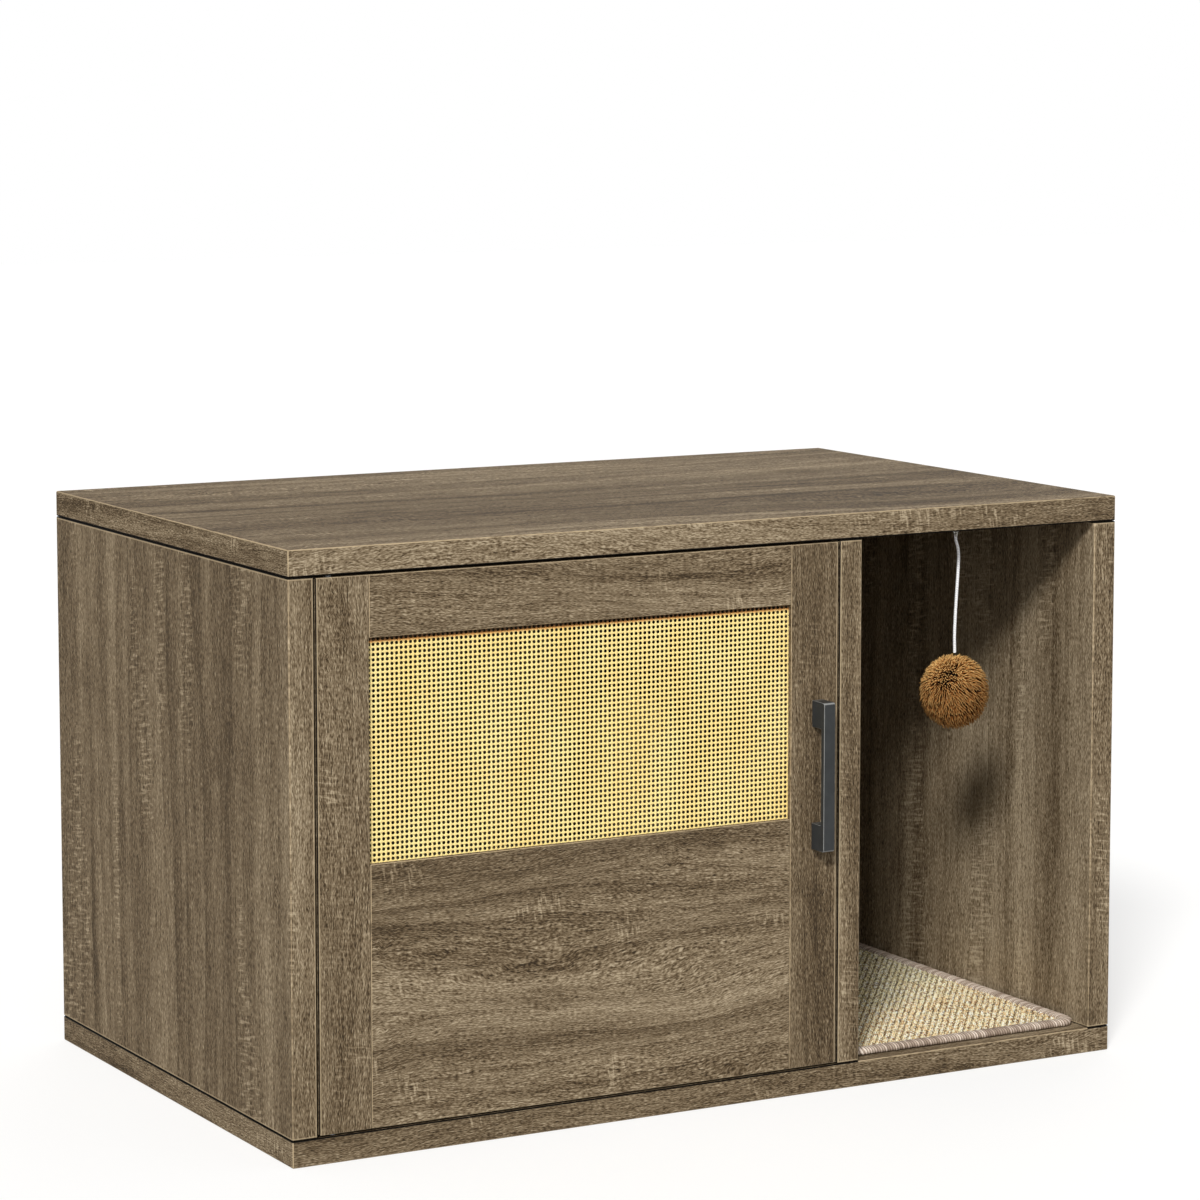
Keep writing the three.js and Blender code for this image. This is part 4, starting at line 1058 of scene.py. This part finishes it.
def make_pompom():
    i = np.arange(STRANDS)
    height = 1 - 2 * (i + 0.5) / STRANDS
    turn = i * math.pi * (3 - math.sqrt(5))
    ring = np.sqrt(1 - height**2)
    out = np.stack([ring * np.cos(turn), ring * np.sin(turn), height], -1)
    out = unit(out + RNG.normal(0, 0.008, out.shape))
    # Strands droop down and to one side, and small tufts lean together.
    tufts = unit(RNG.normal(0, 1, (TUFTS, 3)))
    nearest = np.argmax(out @ tufts.T, axis=1)
    lean = RNG.normal(0, 0.3, (TUFTS, 3))[nearest] + RNG.normal(0, 0.2, out.shape)
    lean += np.array(STRAND_LEAN)
    length = RNG.uniform(0.88, 1.0, STRANDS)
    tip_way = unit(out + 0.5 * lean)
    side = unit(np.cross(tip_way, np.array([0.21, 0.37, 0.9])))
    other = np.cross(tip_way, side)
    rings = []
    tips = []
    for share, width, tip in STRAND_LEVELS:
        way = unit(out - lean * (1 - share))
        middle = way * (share * length)[:, None]
        for angle in full_turn(STRAND_SIDES):
            off = side * math.cos(angle) + other * math.sin(angle)
            rings.append(middle + off * (STRAND_HALF_WIDTH * width / POMPOM_RADIUS))
            tips.append(np.full(STRANDS, tip))
    points = np.stack(rings, 1).reshape(-1, 3)
    tips = np.stack(tips, 1).reshape(-1)
    # Each strand's tone is partly random and partly painted shade, which darkens it the
    # more it points away from the light.
    painted_shade = 0.5 - 0.5 * out @ np.array(PAINTED_LIGHT_WAY)
    per = len(rings)
    tones = np.repeat(0.45 * RNG.random(STRANDS) + 0.55 * painted_shade, per)
    one = loft_faces(len(STRAND_LEVELS), STRAND_SIDES)
    faces = (one[None] + per * i[:, None, None]).reshape(-1, 4).tolist()
    end = np.arange(per - STRAND_SIDES, per)
    faces += (end[None] + per * i[:, None]).tolist()
    limit = np.linalg.norm(points, axis=1, keepdims=True)
    points = points * np.minimum(1, 1 / limit)
    scale = np.array([POMPOM_RADIUS, POMPOM_RADIUS, POMPOM_HALF_HEIGHT])
    core, core_faces = core_ball()
    parts = [
        (points * scale, faces, {"tip": tips, "tone": tones}),
        # The core takes the darkest tone, as painted shade.
        (core * scale, core_faces, {"tip": 0.05, "tone": 0.5}),
    ]
    points, faces, values = join_parts(parts)
    pompom = mesh_object("pompom_strands", points + POMPOM_CENTRE, faces, **values)
    pompom.data.materials.append(pompom_material())
    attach(pompom, "toy")
    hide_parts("pompom")


def core_ball():
    """The pompom's core, a closed ball in shares of the pompom's radius, dark as
    painted shade.
    """
    rings, sides = 14, 24
    rise = np.linspace(0.04, math.pi - 0.04, rings)
    r, t = np.meshgrid(rise, full_turn(sides), indexing="ij")
    points = np.stack([np.sin(r) * np.cos(t), np.sin(r) * np.sin(t), np.cos(r)], -1)
    return points.reshape(-1, 3) * CORE_SHARE, capped_faces(rings, sides)


make_pompom()
WHITE_CORD = cord_material()
cord.data.materials.append(WHITE_CORD)
cord_loop.data.materials.append(WHITE_CORD)
for piece in (cord, cord_loop):
    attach(piece, "toy")
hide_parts("toy_cord")

# ----------------------------------------
# Mat: ground cloth, woven stitches in slanting ribs, and the yarn binding
# ----------------------------------------

MAT_X = (0.1541, 0.422)
MAT_Y = (-0.263, 0.245)
MAT_BOTTOM = 0.0253
BINDING_WIDTH = 0.013
BINDING_HEIGHT = 0.008
MAT_CORNER_RADIUS = 0.016
GROUND_TOP = 0.0293
# The ground cloth and the stitches run in under the binding by this much.
GROUND_TUCK = 0.003
STITCH_TUCK = 0.001

# Points along the binding, the width of a wrap of yarn, and how deep its grooves are.
BINDING_SPACING = 0.00036
BINDING_SIDES = 14
BINDING_WRAP = 0.0029
BINDING_GROOVE = 0.22
BINDING_ROUNDNESS = 0.75
# Wraps of much the same tone that follow one another.
BINDING_PATCH = 12

# Slanting ribs: the way they run, their distance apart, and the stitches along them.
RIB_WAY = np.array([0.614, 0.789])
RIB_PITCH = 0.00586
STITCH_STEP = 0.0025
STITCH_LENGTH = 0.0031
# Rows of stitches in a rib: share of the pitch, half width, top, turn, and tones.
STITCH_ROWS = (
    (0.0, 0.00095, 0.0312, -0.7, (0.0, 0.85)),
    (0.34, 0.00085, 0.0308, -0.4, (0.0, 1.0)),
    (0.67, 0.00075, 0.0302, -0.5, (0.4, 1.0)),
)
# Along a stitch: place as a share of its length, rise, and share of its width.
STITCH_SHAPE = ((-0.5, -0.0011, 0.5), (0.0, 0.0, 1.0), (0.5, -0.0011, 0.5))
STITCH_ARC = np.radians([-10, 40, 90, 140, 190])
STITCH_DEPTH = 0.0009


def make_ground():
    inset = BINDING_WIDTH - GROUND_TUCK
    x0, x1 = MAT_X[0] + inset, MAT_X[1] - inset
    y0, y1 = MAT_Y[0] + inset, MAT_Y[1] - inset
    xs, ys = np.linspace(x0, x1, 60), np.linspace(y0, y1, 120)
    x, y = np.meshgrid(xs, ys, indexing="ij")
    # The cloth is finely uneven on top.
    top = GROUND_TOP + 0.0003 * np.sin(x * 900) * np.sin(y * 1100)
    layers = (top, np.full_like(x, MAT_BOTTOM))
    points = [np.stack([x, y, z], -1).reshape(-1, 3) for z in layers]
    rows, columns = x.shape
    upper = loft_faces(rows, columns, closed_section=False)
    lower = upper[:, ::-1] + rows * columns
    rim = [i * columns for i in range(rows)]
    rim += [(rows - 1) * columns + j for j in range(1, columns)]
    rim += [i * columns + columns - 1 for i in range(rows - 2, -1, -1)]
    rim += [j for j in range(columns - 2, 0, -1)]
    under = [i + rows * columns for i in rim]
    sides = [(rim[i - 1], rim[i], under[i], under[i - 1]) for i in range(len(rim))]
    faces = [*upper.tolist(), *lower.tolist(), *sides]
    ground = mesh_object("mat_ground", np.concatenate(points), faces)
    ground.data.materials.append(ground_material())
    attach(ground, "carcass")
    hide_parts("sisal_mat")
    return ground, (x1 - x0, y1 - y0)


def make_stitches():
    inset = BINDING_WIDTH - STITCH_TUCK
    low = np.array([MAT_X[0] + inset, MAT_Y[0] + inset])
    high = np.array([MAT_X[1] - inset, MAT_Y[1] - inset])
    middle = (low + high) / 2
    across = np.array([RIB_WAY[1], -RIB_WAY[0]])
    reach = float(np.linalg.norm(high - low)) / 2
    ribs = np.arange(-int(reach / RIB_PITCH), int(reach / RIB_PITCH) + 1)
    steps = np.arange(-int(reach / STITCH_STEP), int(reach / STITCH_STEP) + 1)
    rib, step = (v.ravel() for v in np.meshgrid(ribs, steps, indexing="ij"))
    parts = []
    for between, width, top, turned, (pale, dark) in STITCH_ROWS:
        run = (step + 0.37 * rib + 1.5 * between) * STITCH_STEP
        over = (rib + between) * RIB_PITCH
        place = middle + np.outer(run, RIB_WAY) + np.outer(over, across)
        place = place[np.all((place > low) & (place < high), axis=1)]
        n = len(place)
        place = place + RNG.normal(0, 0.0002, place.shape)
        heading = math.atan2(RIB_WAY[1], RIB_WAY[0]) + turned + RNG.normal(0, 0.25, n)
        size = STITCH_LENGTH * RNG.uniform(0.8, 1.15, n)
        girth = width * RNG.uniform(0.88, 1.12, n)
        lift = top - RNG.uniform(0, 0.0005, n)
        rings = []
        for share, rise, wide in STITCH_SHAPE:
            mid_x = place[:, 0] + share * size * np.cos(heading)
            mid_y = place[:, 1] + share * size * np.sin(heading)
            for angle in STITCH_ARC:
                off = np.cos(angle) * girth * wide
                px = mid_x - off * np.sin(heading)
                py = mid_y + off * np.cos(heading)
                pz = lift + rise - (1 - np.sin(angle)) * STITCH_DEPTH
                rings.append(np.stack([px, py, pz], -1))
        per = len(rings)
        one = loft_faces(len(STITCH_SHAPE), len(STITCH_ARC), closed_section=False)
        faces = (one[None] + per * np.arange(n)[:, None, None]).reshape(-1, 4).tolist()
        tones = np.repeat(RNG.uniform(pale, dark, n), per)
        parts.append((np.stack(rings, 1).reshape(-1, 3), faces, {"tone": tones}))
    points, faces, values = join_parts(parts)
    stitches = mesh_object("mat_stitches", points, faces, **values)
    stitches.data.materials.append(mat_material())
    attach(stitches, "carcass")
    return stitches


def rounded_path(low, high, radius, spacing):
    """Points and outward normals along a rectangle with round corners."""
    corners = [
        ((high[0] - radius, low[1] + radius), -90),
        ((high[0] - radius, high[1] - radius), 0),
        ((low[0] + radius, high[1] - radius), 90),
        ((low[0] + radius, low[1] + radius), 180),
    ]
    points, normals = [], []
    for index, (centre, start) in enumerate(corners):
        steps = max(2, round(radius * math.pi / 2 / spacing))
        for k in range(steps + 1):
            a = math.radians(start + 90 * k / steps)
            normals.append((math.cos(a), math.sin(a)))
            points.append(tuple(c + radius * n for c, n in zip(centre, normals[-1])))
        following, begins = corners[(index + 1) % 4]
        a = math.radians(begins)
        way = (math.cos(a), math.sin(a))
        goal = tuple(c + radius * n for c, n in zip(following, way))
        here = points[-1]
        count = round(math.dist(here, goal) / spacing)
        for k in range(1, count):
            points.append(tuple(h + (e - h) * k / count for h, e in zip(here, goal)))
            normals.append(normals[-1])
    return np.array(points), np.array(normals)


def squarish(values):
    """A circle's sines or cosines, drawn out towards those of a square."""
    return np.sign(values) * np.abs(values) ** BINDING_ROUNDNESS


def make_binding():
    half_width, half_height = BINDING_WIDTH / 2, BINDING_HEIGHT / 2
    low = (MAT_X[0] + half_width, MAT_Y[0] + half_width)
    high = (MAT_X[1] - half_width, MAT_Y[1] - half_width)
    radius = MAT_CORNER_RADIUS - half_width
    path, normals = rounded_path(low, high, radius, BINDING_SPACING)
    gaps = np.linalg.norm(np.roll(path, -1, axis=0) - path, axis=1)
    run = np.concatenate([[0], np.cumsum(gaps)[:-1]])
    total = gaps.sum()
    wraps = round(total / BINDING_WRAP)
    angles = full_turn(BINDING_SIDES)
    turn = run[:, None] / total * wraps + 0.55 * np.sin(angles)[None, :]
    index = np.floor(turn).astype(int) % wraps
    inside = turn - np.floor(turn)
    swell = np.sin(math.pi * inside) ** 0.8
    thick = RNG.uniform(0.55, 1.0, wraps)[index]
    shrink = 1 - BINDING_GROOVE * (1 - swell * thick)
    shift = squarish(np.cos(angles))[None] * half_width * shrink
    rise = squarish(np.sin(angles))[None] * half_height * shrink
    x = path[:, None, 0] + normals[:, None, 0] * shift
    y = path[:, None, 1] + normals[:, None, 1] * shift
    z = MAT_BOTTOM + half_height + rise
    points = np.stack([x, y, z], -1).reshape(-1, 3)
    knots = np.arange(0, wraps + BINDING_PATCH, BINDING_PATCH)
    slow = np.interp(np.arange(wraps), knots, RNG.random(len(knots)))
    shade = 0.45 + 0.2 * slow + 0.5 * RNG.random(wraps)
    # Painted shade: the grooves between wraps are darkened, over a tone per wrap that
    # differs at random.
    tone = (shade[index] * (0.05 + 0.95 * swell)).reshape(-1)
    faces = loft_faces(len(path), BINDING_SIDES, closed_path=True)
    binding = mesh_object("binding_roll", points, faces.tolist(), tone=tone)
    binding.data.materials.append(binding_material())
    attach(binding, "carcass")
    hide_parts("mat_binding")
    return binding


ground, ground_size = make_ground()
stitches = make_stitches()
binding = make_binding()

# ----------------------------------------
# Smooth roundings on the rigid pieces, without a change to their meshes
# ----------------------------------------

WELD_DISTANCE = 0.00001
# A face is flat when its normal lies this close to an axis.
FLAT = 0.9999

for name, node in NODES.items():
    if node.hide_render:
        continue
    weld = node.modifiers.new("weld", "WELD")
    weld.merge_threshold = WELD_DISTANCE
    faces = node.data.polygons
    if name in BOARDS:
        # The flat faces stay flat, and only the roundings are smooth.
        smooth = [max(abs(part) for part in face.normal) < FLAT for face in faces]
        faces.foreach_set("use_smooth", smooth)
    else:
        faces.foreach_set("use_smooth", [True] * len(faces))
        shade = node.modifiers.new("shade", "WEIGHTED_NORMAL")
        shade.weight = 100
        shade.keep_sharp = False
